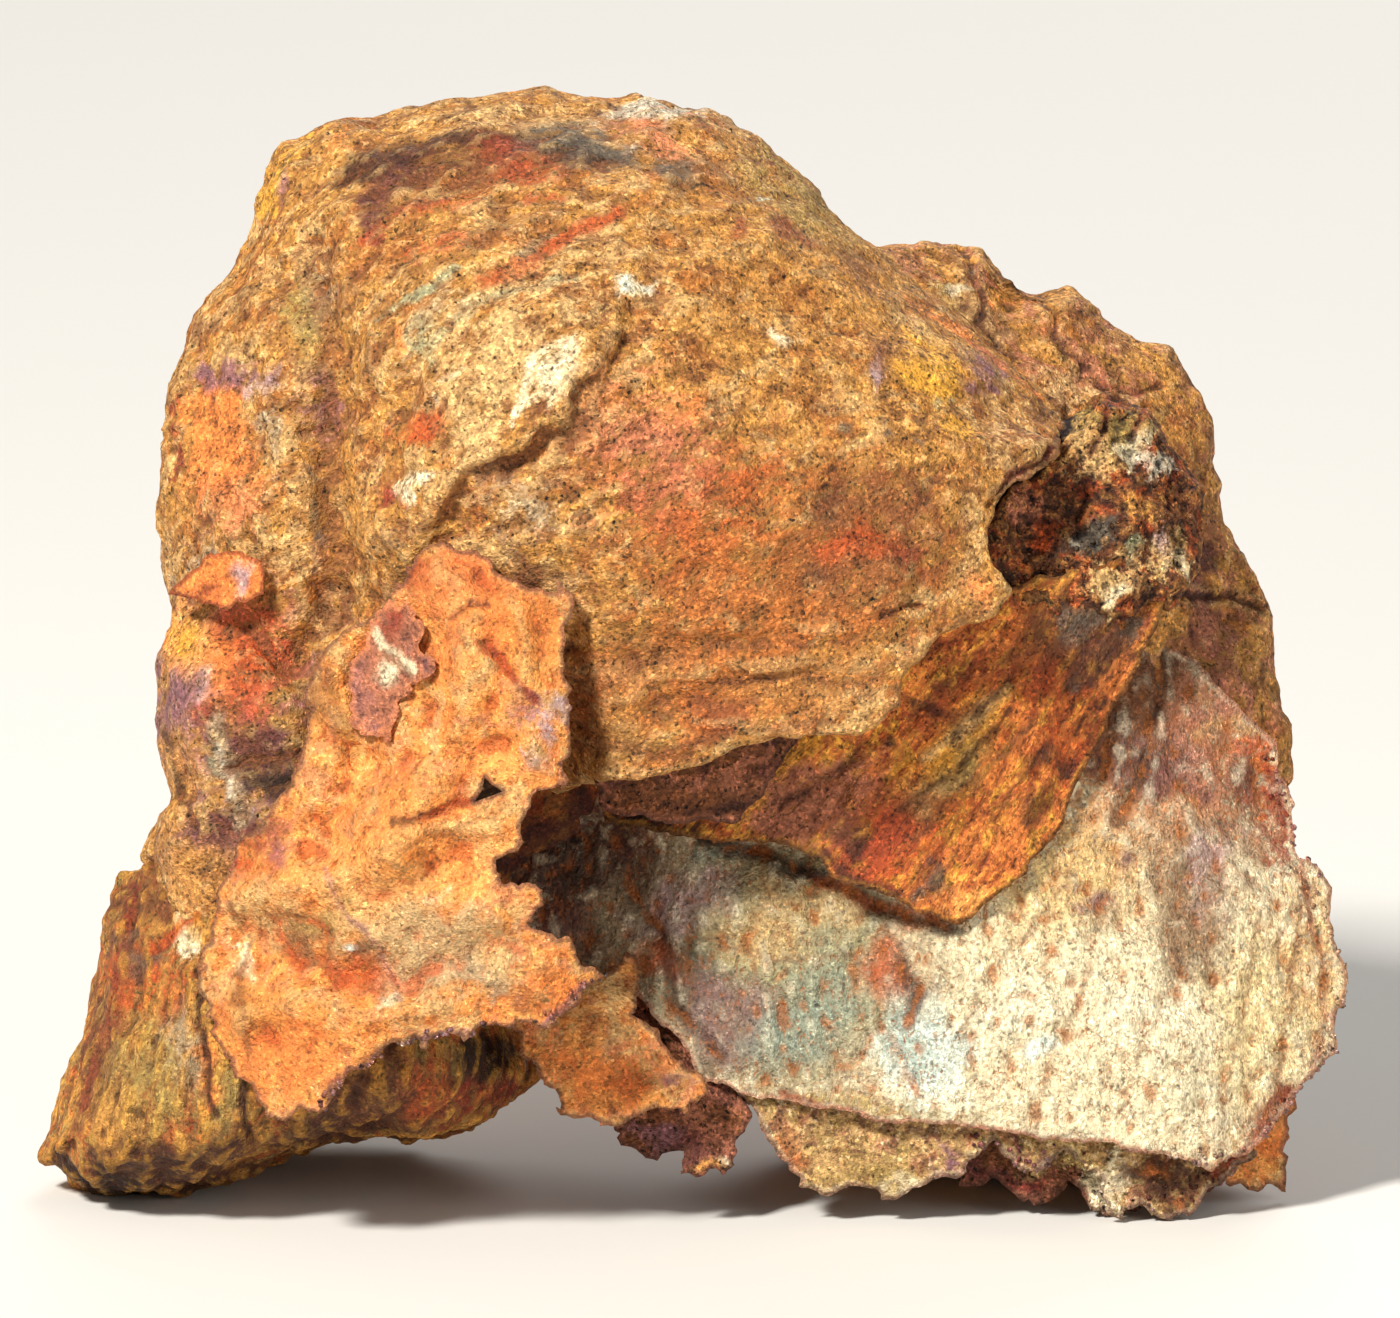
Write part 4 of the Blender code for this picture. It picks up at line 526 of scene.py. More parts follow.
BLOCK_STAINS = (
    ("brown", -52.5, 38.6, 3.2, 2.6, 0, 0.7), ("ochre", -54, 40.6, 2, 1.6, 0, 0.6),
    ("plum", -59.4, 22.6, 2, 11.5, -12, 0.7), ("brown", -60.6, 14.4, 2.2, 5, -14, 0.6),
    ("cream", -51.6, 27.9, 1.7, 2.6, 0, 0.75), ("yellow", -50.8, 29.2, 1.4, 1.6, 0, 0.6),
    # The black at (-52, 2.8) and (-60, 3.6) and the umber at (-54, 4.6), (-34, 8.6) and (-33, 11) are painted
    # shade along the block's underside.
    ("black", -52, 2.8, 14, 1.4, 4, 0.8), ("slate", -55.9, 25.3, 1.8, 1, 20, 0.8),
    ("umber", -55, 32.4, 1.6, 2.6, -20, 0.5), ("rust", -54.2, 21.9, 4.3, 2.8, 0, 0.65),
    ("olive", -55.3, 13.4, 4.5, 5.6, -8, 0.75), ("brown", -60, 26, 4, 9, -12, 0.6),
    ("brown", -54, 33, 5, 4, 0, 0.6), ("ochre", -57.4, 9.4, 3.4, 2.6, -20, 0.6),
    ("grey", -50.8, 16.7, 1.6, 4.2, 0, 0.75), ("orange", -49, 14.8, 0.9, 4.2, 0, 0.7),
    ("olive", -46.9, 13.1, 1.4, 5, 0, 0.8), ("brown", -44.8, 12, 1, 4.6, 0, 0.6),
    ("umber", -54, 4.6, 14, 3, 2, 0.95), ("umber", -34, 8.6, 9, 2.6, 8, 0.7),
    ("black", -60, 3.6, 5, 1.4, -10, 0.9), ("umber", -33, 11, 8, 4.2, 8, 0.8),
    ("brown", -31.4, 13.3, 5.6, 4.2, 0, 0.5), ("ochre", -33.2, 15.4, 1.6, 1.4, 0, 0.7),
    # The black at (-20.4, 16.2) is painted shade in the gap under the front leaf.
    ("rust", -26.8, 12.2, 2, 3.2, 0, 0.6), ("black", -20.4, 16.2, 4.6, 3, 0, 0.98),
    ("brick", -20.8, 11.8, 3.9, 2, 10, 0.8), ("umber", -36.6, 20, 8, 6, 0, 0.5),
)
BLOCK_MARKS = (
    # Painted shade: the black line where the dome's edge meets the block.
    ("black", ((-55.5, 37.2), (-52, 36.2), (-49.1, 36.4)), 0.45, 0.95),
    ("rust", ((-45.6, 33.8), (-50, 30.4), (-54.6, 27)), 0.6, 0.85),
    ("brick", ((-56.6, 33.6), (-57.6, 28), (-58.8, 20), (-61.6, 11)), 0.5, 0.6),
    ("umber", ((-49.8, 25), (-49.4, 18), (-48, 10.4)), 0.35, 0.7),
    ("umber", ((-45.9, 18), (-45.4, 12), (-44.4, 7.6)), 0.3, 0.7),
)
RIGHT_STAINS = (
    # The plum, black and umber at (-11, 33), (-12, 35) and (-7, 27) are painted shade in the cavity under the
    # dome's lip.
    ("plum", -11, 33, 8.4, 12, 0, 0.98), ("black", -12, 35, 7, 6, 0, 0.7), ("umber", -7, 27, 3.4, 5, 0, 0.7),
    # The cream and gold over the lower right are partly a pale tarnish and partly a painted sheen.
    ("cream", 38, 24, 24, 12, 12, 0.85), ("cream", 46, 14, 17, 8, 10, 0.9), ("gold", 36, 34, 8, 5, 20, 0.55),
    ("grey", 7, 25, 14, 11, -10, 1), ("verdigris", 8, 26, 13, 10, -10, 0.85),
    ("slate", 0.6, 23, 3.2, 8, 10, 0.7), ("sand", 7, 29.6, 4.6, 3.8, 0, 0.6),
    ("lilac", -1.7, 31.5, 3, 2.8, 0, 0.9), ("violet", 3.3, 20.5, 5.4, 3.6, 0, 0.6),
    ("teal", 2, 36, 2.4, 1, 0, 0.7), ("violet", 4.4, 35.6, 1.4, 0.9, 0, 0.8),
    ("rust", -3.4, 25.8, 2.6, 2.5, 0, 0.9), ("brick", -2.6, 24.4, 1.6, 1.6, 0, 0.6),
    ("teal", 8.4, 18.8, 4.4, 2.6, 0, 0.8), ("teal", 13, 22, 3.2, 4.4, 0, 0.6),
    ("sand", 13.4, 31.4, 3.2, 2.8, 0, 0.5), ("rust", 19.2, 24.6, 2.8, 2.7, 20, 0.85),
    ("umber", 21.4, 22.8, 0.9, 3.2, 0, 0.75), ("salmon", 22.4, 29.8, 2.2, 1.4, 30, 0.7),
    # The ice and white spots here are painted glints on the sheen.
    ("ice", 22.2, 16.4, 3.4, 5.6, 0, 1), ("teal", 20.2, 18.6, 1.2, 4.4, 10, 0.45),
    ("ice", 33.7, 16.9, 1.3, 1.2, 0, 0.9), ("white", 23.4, 12.2, 2.2, 2.2, 0, 0.8),
    ("white", 31, 20.8, 4.4, 2.6, 20, 0.7), ("white", 44, 20.6, 5, 3, 0, 0.6), ("sand", 40, 38, 12, 7, 30, 0.5),
    ("rose", 48, 42, 8, 7, 20, 0.5), ("grey", 49, 31.8, 3.8, 7, 6, 0.9), ("brown", 49, 32, 3.4, 6.4, 6, 0.4),
    ("lilac", 50.8, 35.6, 2.2, 3, 0, 0.7), ("brown", 49.8, 25.6, 2.4, 1.8, 0, 0.6),
    # The umber at (45.6, 55) and (46, 60) and the brown at (46, 55) are painted shade in the valley beside the
    # tongue's right edge and below the knot.
    ("umber", 45.6, 55, 2.2, 6.4, -8, 0.9), ("plum", 43.2, 50.8, 2.2, 5.6, -10, 0.7),
    ("lilac", 48.2, 49, 3.4, 2.8, 0, 0.85), ("violet", 46.8, 46.6, 2.8, 2.4, 0, 0.7),
    ("brown", 46, 55, 8, 9, -30, 0.85), ("rose", 52.6, 50, 5, 6, 0, 0.7), ("sand", 55, 50.6, 2.4, 4.2, 0, 0.6),
    ("plum", 44, 47, 5, 3, -20, 0.6), ("umber", 46, 60, 5, 3.4, 0, 0.8), ("rust", 56.9, 43, 2.5, 3.4, 0, 0.95),
    ("brick", 58, 39, 1.4, 4, 0, 0.7), ("plum", 53.6, 41.8, 2, 3.4, 10, 0.7),
    ("brown", 55.4, 36.4, 1.7, 3, 0, 0.5), ("violet", 38.6, 32.1, 1.4, 1.5, 0, 0.85),
    ("violet", 42.6, 36, 1.3, 1.2, 0, 0.8), ("brown", 39.6, 29.4, 1, 1.3, 0, 0.6),
    ("violet", 36.2, 35, 1, 0.8, 0, 0.5), ("sand", 62, 25, 2.2, 9, 0, 0.7), ("violet", 64, 22, 1.1, 6, 0, 0.7),
    ("olive", 16, 10.9, 10, 1.7, -6, 0.7), ("rust", 5.4, 11.6, 3, 1.3, -8, 0.75),
    ("plum", 30, 6, 10, 2, -5, 0.5), ("brick", 58, 9.6, 2.6, 2.4, 40, 0.85),
    # The gold at (56, 20) is partly a painted sheen.
    ("salmon", 26.6, 36, 2.6, 2.2, 10, 0.7), ("gold", 56, 20, 4, 9, 0, 0.5),
)
RIGHT_MARKS = (
    # Painted shadow: the black line on the sheet under the tongue's lower edge.
    ("black", ((0, 38.4), (6, 36.4), (13, 33.8), (20, 30.8), (25, 29.2)), 0.8, 0.9),
    ("brick", ((8, 12.4), (18, 10), (26, 9), (40, 7.7), (48, 5.5), (54, 4.5)), 0.35, 0.9),
    ("brown", ((26, 18), (28, 24), (33, 29), (37, 35)), 0.3, 0.6),
    ("brown", ((33, 9), (35, 17), (39, 25)), 0.25, 0.55), ("brown", ((42, 10), (44, 18), (47, 24)), 0.25, 0.55),
    ("brown", ((52, 10), (54, 20), (56, 31)), 0.25, 0.6),
    ("brown", ((57.2, 13), (59, 22), (60.4, 33)), 0.3, 0.7),
    # Painted shade: the umber line down the valley beside the tongue's right edge.
    ("umber", ((44.6, 61), (46.4, 54), (45, 47), (41.4, 40)), 0.6, 0.8),
    ("brick", ((60, 36), (62, 28), (62.6, 20), (60.6, 14)), 0.4, 0.6),
    ("brick", ((52, 4.6), (56, 8.6), (58.3, 13)), 0.7, 0.9),
    # Painted shadow: the umber line on the sheet beside the low flap's right edge.
    ("umber", ((-6.4, 33), (-3.6, 27.6), (-2.8, 22), (2.6, 16)), 0.5, 0.7),
    ("rust", ((12, 33.6), (18, 31.4), (24, 30.4)), 0.6, 0.6),
    ("umber", ((20.4, 25.6), (21.6, 22.6), (20.8, 19.6)), 0.5, 0.8),
    ("brown", ((0, 28), (8, 25.6), (15, 26.4)), 0.3, 0.5),
)
RIM_STAINS = (
    ("sand", 12, 5, 9, 3, 0, 0.6), ("olive", 18, 3.6, 5, 2.4, 0, 0.6), ("rust", 9, 5, 2.4, 2.2, 0, 0.6),
    ("cream", 41.8, 3.4, 2.2, 3.4, 0, 0.8), ("gold", 37.6, 6.4, 3, 1.6, 0, 0.6),
    ("plum", 31, 4.4, 5.4, 2.6, 0, 0.85), ("brick", 34, 3.6, 3, 1.6, 0, 0.6),
    ("umber", 47.6, 3.2, 3.8, 2.6, 0, 0.85), ("orange", 47, 4, 1.2, 0.9, 0, 0.6),
    ("cream", 20.4, 3, 1.4, 1.2, 0, 0.6), ("violet", 24.8, 6.4, 2, 1.8, 0, 0.5),
    ("brick", 52.6, 5, 2.4, 2.2, 0, 0.8),
)
TONGUE_STAINS = (
    ("umber", 32.2, 56, 11, 3.4, 22, 0.5), ("rust", 30.2, 53, 10, 2.4, 22, 0.6),
    ("brown", 38, 60, 6, 4.4, 10, 0.7), ("orange", 25.6, 46.6, 6.4, 3.8, 42, 0.7),
    ("yellow", 25.4, 47.4, 5, 2.6, 40, 0.7), ("olive", 24.4, 44.2, 5, 1.8, 35, 0.8),
    ("sand", 28.2, 49.8, 3.4, 1.1, 42, 0.8), ("sand", 22.2, 42, 3.2, 1, 38, 0.6),
    ("rust", 18.8, 37.6, 5.4, 4, 20, 0.8), ("brick", 16, 37, 6, 3.4, 20, 0.5),
    ("glow", 26.6, 32.4, 2.6, 2.2, 20, 0.9), ("orange", 31, 38.4, 3.4, 3, 30, 0.8),
    ("slate", 37.6, 59.4, 1.9, 1.4, 0, 0.95), ("slate", 42.1, 58.4, 1.2, 1, 0, 0.9),
    ("slate", 37.1, 54.5, 1.3, 1, 0, 0.9), ("umber", 33.4, 46.6, 1.8, 1.2, 40, 0.9),
    ("umber", 32, 40.8, 1.2, 1.8, 20, 0.8), ("umber", 39.6, 56.4, 3.4, 2, 0, 0.8),
    ("umber", 35.8, 44.9, 1.5, 1.5, 0, 0.85), ("umber", 13.6, 38, 1.5, 1.4, 0, 0.95),
    ("umber", 18.5, 47.1, 0.8, 1, 0, 0.8), ("slate", 23.4, 34.1, 1.1, 1.2, 0, 0.9),
    ("umber", 33, 42, 3, 1.4, 30, 0.5), ("rose", 11, 42, 6.6, 3.6, 14, 0.85), ("rose", 8, 38.6, 4, 1.6, 0, 0.6),
    # The black at (-6, 36) is painted shade in the cavity under the dome's lip.
    ("black", -6, 36, 6, 8, 0, 0.9), ("umber", 41, 50, 1.8, 5, -20, 0.6), ("rust", 37, 48.2, 2.6, 3, 20, 0.7),
)
TONGUE_MARKS = (
    ("umber", ((20.4, 52), (25, 49.4), (31, 53.4)), 0.5, 0.6),
    ("umber", ((19.4, 40.2), (25, 44.2), (31, 51)), 0.3, 0.7),
    ("brown", ((21, 37.6), (26, 42), (33, 49.6)), 0.4, 0.7),
    ("sand", ((22, 45.6), (26, 49), (30.6, 53)), 0.4, 0.7),
    ("brown", ((23, 34.6), (29, 40), (35, 47)), 0.4, 0.6),
    # Painted shade: the umber line along the tongue's lower edge.
    ("umber", ((5, 37.4), (11, 36.6), (15, 34), (20, 31.8)), 0.5, 0.8),
    ("rust", ((17, 34.4), (22, 37.4), (27, 42)), 0.4, 0.6),
    ("umber", ((8, 41), (12, 44), (16, 46.4)), 0.4, 0.6),
)
LIP_STAINS = (
    ("brown", -0.2, 41.2, 5.6, 2.4, 0, 0.85), ("umber", 3, 40, 5, 0.9, 0, 0.8), ("rose", 8, 43, 3, 2.4, 0, 0.6),
)
FRONT_STAINS = (
    ("glow", -29, 34.6, 12, 5, 10, 0.6), ("salmon", -23.4, 62.4, 6, 3, 0, 0.6),
    ("brick", -28.4, 64, 2.3, 2.6, -30, 0.95), ("ochre", -16.4, 57, 3, 4.2, 0, 0.8),
    ("lilac", -14.2, 48.8, 1.8, 2.4, 0, 0.9), ("violet", -17.4, 49.6, 1.4, 1.4, 0, 0.6),
    ("brown", -36.6, 52.4, 2, 5.8, 0, 0.6), ("ochre", -34.6, 49, 2.6, 4.4, 0, 0.5),
    ("glow", -19.8, 45.2, 4.8, 1.4, 8, 0.6), ("sand", -43.4, 29.6, 3.8, 2.8, 10, 0.8),
    ("grey", -24.7, 26, 8.4, 4.4, 0, 0.9), ("orange", -22, 60, 9, 7, 0, 0.55),
    ("sand", -31, 28.6, 9, 4.4, 0, 0.5), ("sand", -20, 26.4, 2.9, 2.6, 0, 0.85),
    ("brown", -39, 27.8, 3.4, 2.4, 14, 0.7), ("olive", -37, 29.6, 3, 1.2, 30, 0.6),
    ("rust", -34.5, 24, 2.6, 1.9, 30, 0.8), ("umber", -33.2, 26.6, 1.2, 1, 30, 0.7),
    # The ice at (-33.9, 26.9) is a painted glint.
    ("ice", -33.9, 26.9, 0.5, 0.4, 0, 1), ("orange", -42, 16.6, 5.6, 5.4, 0, 0.85),
    ("orange", -14.2, 22, 3.8, 2.6, 0, 0.85), ("umber", -17.4, 21, 1.8, 1.6, 0, 0.4),
    ("ochre", -44.6, 21.6, 3, 2.4, 0, 0.5), ("sand", -27.4, 21.6, 3, 2, 0, 0.5),
    ("orange", -31, 41, 7, 2, 14, 0.5), ("rust", -43.4, 35.6, 3.4, 2.6, 40, 0.6),
    ("plum", -43.8, 38.4, 2.8, 1.6, 30, 0.6), ("violet", -41.4, 35.8, 1.8, 1.6, 0, 0.5),
    ("sand", -21.6, 38, 3.2, 1.4, -20, 0.4), ("cream", -45.8, 25.6, 1.2, 1.6, 0, 0.5),
    ("cream", -31, 22.6, 1.4, 0.8, 0, 0.4), ("cream", -24.2, 31.6, 1.6, 0.7, 0, 0.4),
    ("olive", -29.6, 16.9, 3.2, 1.4, 0, 0.5), ("brick", -33, 15.6, 2.2, 0.9, 30, 0.8),
    ("plum", -36.6, 13.2, 1.4, 1.4, 0, 0.7),
)
FRONT_MARKS = (
    ("violet", ((-37.1, 35.1), (-35.4, 30.4), (-31.5, 27), (-29.4, 21)), 0.22, 0.6),
    ("umber", ((-24.3, 59.2), (-22.4, 61), (-20.9, 60.5)), 0.3, 0.8),
    ("brick", ((-21.6, 56.7), (-18.4, 53.7), (-16.1, 51)), 0.45, 0.75),
    ("umber", ((-21.8, 41.6), (-25, 40.4), (-30.7, 38.9)), 0.28, 0.9),
    # Painted shadow: the brown line round the raised chip's edge.
    ("brown", ((-42.2, 30.4), (-38.6, 30), (-36.2, 28.2), (-36.6, 25.4), (-39.8, 25.2)), 0.25, 0.6),
    ("brown", ((-46.6, 31.8), (-44.8, 27.6), (-45.8, 21.6), (-44.6, 15)), 0.4, 0.6),
    ("violet", ((-28.6, 17.9), (-21, 18.4), (-15.4, 19.2), (-10.6, 23.4)), 0.5, 0.8),
    ("brown", ((-31, 36.6), (-24, 38.2), (-19.4, 41)), 0.3, 0.5),
)
PEEL_STAINS = (
    ("rose", -31, 53, 4.4, 7, 0, 0.9), ("cream", -30.4, 54.4, 0.8, 1.6, 30, 0.9),
    ("cream", -28.4, 55.2, 1.2, 0.5, 0, 0.8), ("violet", -33.6, 52, 1.4, 2.4, 0, 0.5),
    ("orange", -31, 48.6, 1.4, 0.9, 0, 0.6), ("brick", -31.4, 59.6, 1.4, 1.9, -30, 0.8),
)
PEEL_MARKS = (
    ("cream", ((-32, 57.7), (-29.6, 55.2), (-28.2, 54)), 0.45, 0.9),
    ("brown", ((-30.8, 56), (-28.6, 53.6)), 0.3, 0.8),
)
FLAP_STAINS = (
    ("sand", -7, 22.4, 4.6, 3, 0, 0.75), ("grey", -4, 23.4, 2.2, 1.8, 0, 0.5),
    ("orange", -10.4, 14.8, 7, 3.4, -14, 0.85), ("rust", -5.6, 14.8, 2.4, 1.9, -20, 0.5),
    ("glow", -9.6, 12.2, 2.4, 1, 0, 0.6), ("violet", -1.4, 12.4, 1.4, 1.2, 0, 0.6),
)
BROWN_FLAP_STAINS = (
    ("plum", -1.6, 7.6, 5.4, 3, 0, 0.7), ("rose", 2.4, 10, 2.6, 3, 0, 0.6),
    ("ochre", 1.4, 5.4, 1.6, 0.9, 0, 0.85), ("violet", -5.6, 8.6, 2.2, 1.8, 0, 0.5),
    ("cream", 2.8, 6.2, 0.9, 0.6, 0, 0.6),
)
CORNER_STAINS = (("orange", 57, 8, 2.6, 6, 0, 0.9), ("brick", 54, 5, 2.6, 2.2, 0, 0.7))
PLATE_STAINS = (
    ("orange", -47.4, 63.6, 4.4, 2.4, 10, 0.95), ("lilac", -44.4, 63, 1.3, 1.4, 0, 0.9),
    ("brick", -50.6, 62.2, 2.6, 0.6, 10, 0.8),
)
HEART_STAINS = (
    # The black and plum at (-8, 30) and (-11, 35) are painted shade in the cavity under the dome's lip.
    ("black", -8, 30, 16, 15, 0, 0.9), ("plum", -11, 35, 7, 6, 0, 0.6), ("brown", -38, 40, 12, 16, 0, 0.5),
    ("umber", 20, 20, 26, 14, 0, 0.6),
)
BACK_STAINS = (
    ("ochre", -20, 82, 14, 10, 20, 0.6), ("rust", 10, 88, 10, 7, 0, 0.55), ("verdigris", -6, 70, 8, 5, 30, 0.5),
    ("plum", -34, 62, 9, 7, 0, 0.5), ("orange", -30, 44, 12, 7, 10, 0.6), ("sand", 26, 52, 12, 9, 0, 0.6),
    ("violet", 40, 62, 7, 6, 0, 0.5), ("cream", 18, 40, 6, 4, 20, 0.5), ("rust", 44, 36, 6, 8, 0, 0.5),
    ("umber", 0, 50, 8, 6, 0, 0.5), ("olive", 40, 84, 7, 6, 0, 0.6), ("teal", -14, 36, 5, 3, 0, 0.4),
    ("brick", -44, 80, 5, 6, 0, 0.5), ("salmon", -12, 96, 9, 4, 0, 0.5), ("brown", 24, 74, 9, 5, 0, 0.5),
)


def tone(name, red, green, blue):
    """A colour that a user may change, from its screen values."""
    screen = np.array([red, green, blue]) / 255
    linear = np.where(screen <= 0.04045, screen / 12.92, ((screen + 0.055) / 1.055) ** 2.4)
    return bpy.props.FloatVectorProperty(
        name=name, description=f"Tone of the {name.lower()}", subtype="COLOR", size=3, min=0, max=1,
        default=tuple(linear.tolist()),
    )


def length(name, description, millimetres):
    return bpy.props.FloatProperty(
        name=name, description=description, default=millimetres * MM, min=0, unit="LENGTH", precision=5,
    )


class CopperTones(bpy.types.PropertyGroup):
    """Tones of the crust, the copper and their stains; some also serve as painted shade, painted sheen and
    painted glints.
    """

    ochre: tone("Ochre crust", 190, 134, 66)
    earth: tone("Burnt earth", 168, 98, 46)
    sand: tone("Sandy crust", 208, 168, 110)
    yellow: tone("Yellow ochre", 226, 164, 62)
    gold: tone("Golden sheen", 232, 200, 128)
    orange: tone("Copper orange", 226, 130, 64)
    glow: tone("Bright copper", 240, 160, 84)
    salmon: tone("Salmon copper", 212, 130, 86)
    rose: tone("Rose film", 172, 108, 80)
    rust: tone("Rust", 178, 80, 38)
    brick: tone("Brick red oxide", 132, 52, 36)
    brown: tone("Brown crust", 122, 74, 44)
    # Umber and black are dark crust, and the stains and marks also lay them as painted shade in cavities, gaps,
    # creases and under overhangs.
    umber: tone("Umber hollows", 72, 42, 32)
    black: tone("Black hollows", 26, 18, 20)
    plum: tone("Plum oxide", 98, 54, 48)
    violet: tone("Violet film", 134, 92, 98)
    lilac: tone("Lilac film", 178, 148, 146)
    grey: tone("Grey crust", 164, 142, 110)
    slate: tone("Slate grains", 88, 80, 68)
    teal: tone("Blue-green film", 136, 152, 136)
    verdigris: tone("Verdigris", 150, 150, 114)
    olive: tone("Olive crust", 158, 132, 74)
    cream: tone("Cream sheen", 240, 224, 184)
    silver: tone("Silver-grey crust", 202, 190, 166)
    ice: tone("Ice-white glint", 216, 234, 222)
    white: tone("White glint", 250, 240, 206)
    floor: tone("Pale floor", 222, 220, 215)


class CopperSizes(bpy.types.PropertyGroup):
    """Sizes of the pieces' meshes and of their surface."""

    dome_voxel: length("Dome voxel", "Cell of the remeshed dome", 0.52)
    lump_voxel: length("Lump voxel", "Cell of the other remeshed lumps that show", 0.45)
    core_voxel: length("Core voxel", "Cell of the remeshed lumps that hardly show", 0.7)
    leaf_step: length("Leaf step", "Distance between points inside a leaf", 0.5)
    back_step: length("Back leaf step", "Distance between points inside a leaf of the back", 0.8)
    torn_rim: length("Torn rim", "Thickness of a leaf at its torn edge", 0.35)
    rim_taper: length("Rim taper", "Distance over which a leaf thins towards its torn edge", 3.0)
    tear: length("Tear", "Depth of the small notches in a torn edge", 0.42)
    curl: length("Curl", "How far a leaf's torn edge turns outwards", 0.9)
    flake: length("Flakes", "Height of the flakes of the crust together", 1.5)
    crumb: length("Crumbs", "Height of the crust's small bumps", 0.4)
    grain: length("Grain", "Size of the sandy grains", 0.3)
    crystal: length("Crystals", "Mean size of the loose copper crystals", 0.55)
    crystals: bpy.props.FloatProperty(
        name="Crystals per area", description="Crystals to a square metre of crumbly crust",
        default=900000, min=0,
    )


def millimetres(name):
    return getattr(bpy.context.scene.copper_sizes, name) / MM


# Shapes on the face.


def value_noise(places, seed):
    """Smooth noise from -1 to 1, with one value to a unit cell."""
    low = np.floor(places).astype(np.int64)
    part = places - low
    part = part * part * (3 - 2 * part)
    total = 0.0
    for corner in range(8):
        shift = np.array([corner & 1, corner >> 1 & 1, corner >> 2 & 1])
        cell = low + shift
        mixed = sum(number * step for number, step in zip((*cell.T, seed), HASH_STEPS))
        mixed = (mixed ^ (mixed >> 13)) * HASH_MIX & 0xFFFFFFFF
        value = ((mixed ^ (mixed >> 16)) & 0xFFFF) / 32767.5 - 1
        total = total + value * np.prod(np.where(shift, part, 1 - part), axis=1)
    return total


def crumple(places, cell, size, seed, octaves=2):
    """Noise of a few sizes at once: the largest has this cell and height, each next one half of both."""
    total = np.zeros(len(places))
    for octave in range(octaves):
        total += size / 2**octave * value_noise(places * (2**octave / cell), seed + octave)
    return total


TURN = np.array([[0.36, 0.48, -0.8], [-0.8, 0.6, 0.0], [0.48, 0.64, 0.6]])


def fractal(places, cell, seed, octaves=4, gain=0.55):
    """Noise from about -1 to 1, each next size turned so that no grid shows."""
    total = 0.0
    turned = places @ TURN / cell
    for octave in range(octaves):
        total = total + 1.5 * gain**octave * value_noise(turned, seed + 3 * octave)
        turned = turned @ TURN * NOISE_GROWTH + NOISE_SHIFT
    return total * (1 - gain)


def flakes(places, cell, seed, steps=6):
    """Flat flakes that end in small ledges, from 0 to 1."""
    height = steps * (0.5 + 0.5 * fractal(places, cell, seed, 3))
    whole = np.floor(height)
    return (whole + np.clip((height - whole - (1 - LEDGE_SHARE)) / LEDGE_SHARE, 0, 1)) / steps


def smooth_step(low, high, value):
    """From 0 at low to 1 at high, softly."""
    part = np.clip((value - low) / (high - low), 0, 1)
    return part * part * (3 - 2 * part)


def surface(levels):
    """A smooth surface through a few heights (u, v, w), as a function of u and v."""
    known = np.array(levels, float)

    def pull(a, b):
        square = ((a[:, None, :] - b[None, :, :]) ** 2).sum(2) + 1e-9
        return square * np.log(square)

    def plane(a):
        return np.column_stack([np.ones(len(a)), a])

    count = len(known)
    system = np.zeros((count + 3, count + 3))
    system[:count, :count] = pull(known[:, :2], known[:, :2])
    system[:count, count:] = plane(known[:, :2])
    system[count:, :count] = system[:count, count:].T
    weights = np.linalg.solve(system, np.append(known[:, 2], [0, 0, 0]))
    return lambda at: pull(at, known[:, :2]) @ weights[:count] + plane(at) @ weights[count:]


def from_path(at, path):
    """Distance of each place from a path on the face, and on which side it lies: 1 is left of it."""
    best = np.full(len(at), 1e9)
    side = np.ones(len(at))
    for start, end in zip(path, path[1:]):
        start, along = np.array(start, float), np.subtract(end, start)
        share = np.clip((at - start) @ along / (along @ along), 0, 1)
        gap = at - start - share[:, None] * along
        distance = np.hypot(gap[:, 0], gap[:, 1])
        nearer = distance < best
        best[nearer] = distance[nearer]
        side[nearer] = np.sign(along[0] * gap[nearer, 1] - along[1] * gap[nearer, 0])
    return best, side


def groove(at, path, width, depth):
    """A soft cut along a path, or with a negative depth a ridge."""
    return -depth * np.exp(-((from_path(at, path)[0] / width) ** 2))


def shelf(at, path, height, fade):
    """A step that stands up on the right of a path and fades away from it."""
    distance, side = from_path(at, path)
    return height * np.exp(-distance / fade) * (side < 0)


def dome_height(at):
    """Height of the dome's front, with its valley, shelf, trough, brow and wrinkles."""
    height = surface(DOME_LEVELS)(at) + groove(at, VALLEY, *VALLEY_CUT)
    height += shelf(at, SHELF, *SHELF_STEP)
    height += groove(at, TOP_TROUGH, *TROUGH_CUT) + groove(at, BROW, *BROW_CUT)
    for path in WRINKLES:
        height += groove(at, path, *WRINKLE_CUT)
    return height


def inside(at, outline):
    """Whether each place lies within an outline."""
    found = np.zeros(len(at), bool)
    for (u0, v0), (u1, v1) in zip(outline, np.roll(outline, -1, axis=0)):
        crosses = (v0 > at[:, 1]) != (v1 > at[:, 1])
        found ^= crosses & (at[:, 0] < (u1 - u0) * (at[:, 1] - v0) / (v1 - v0 + 1e-12) + u0)
    return found


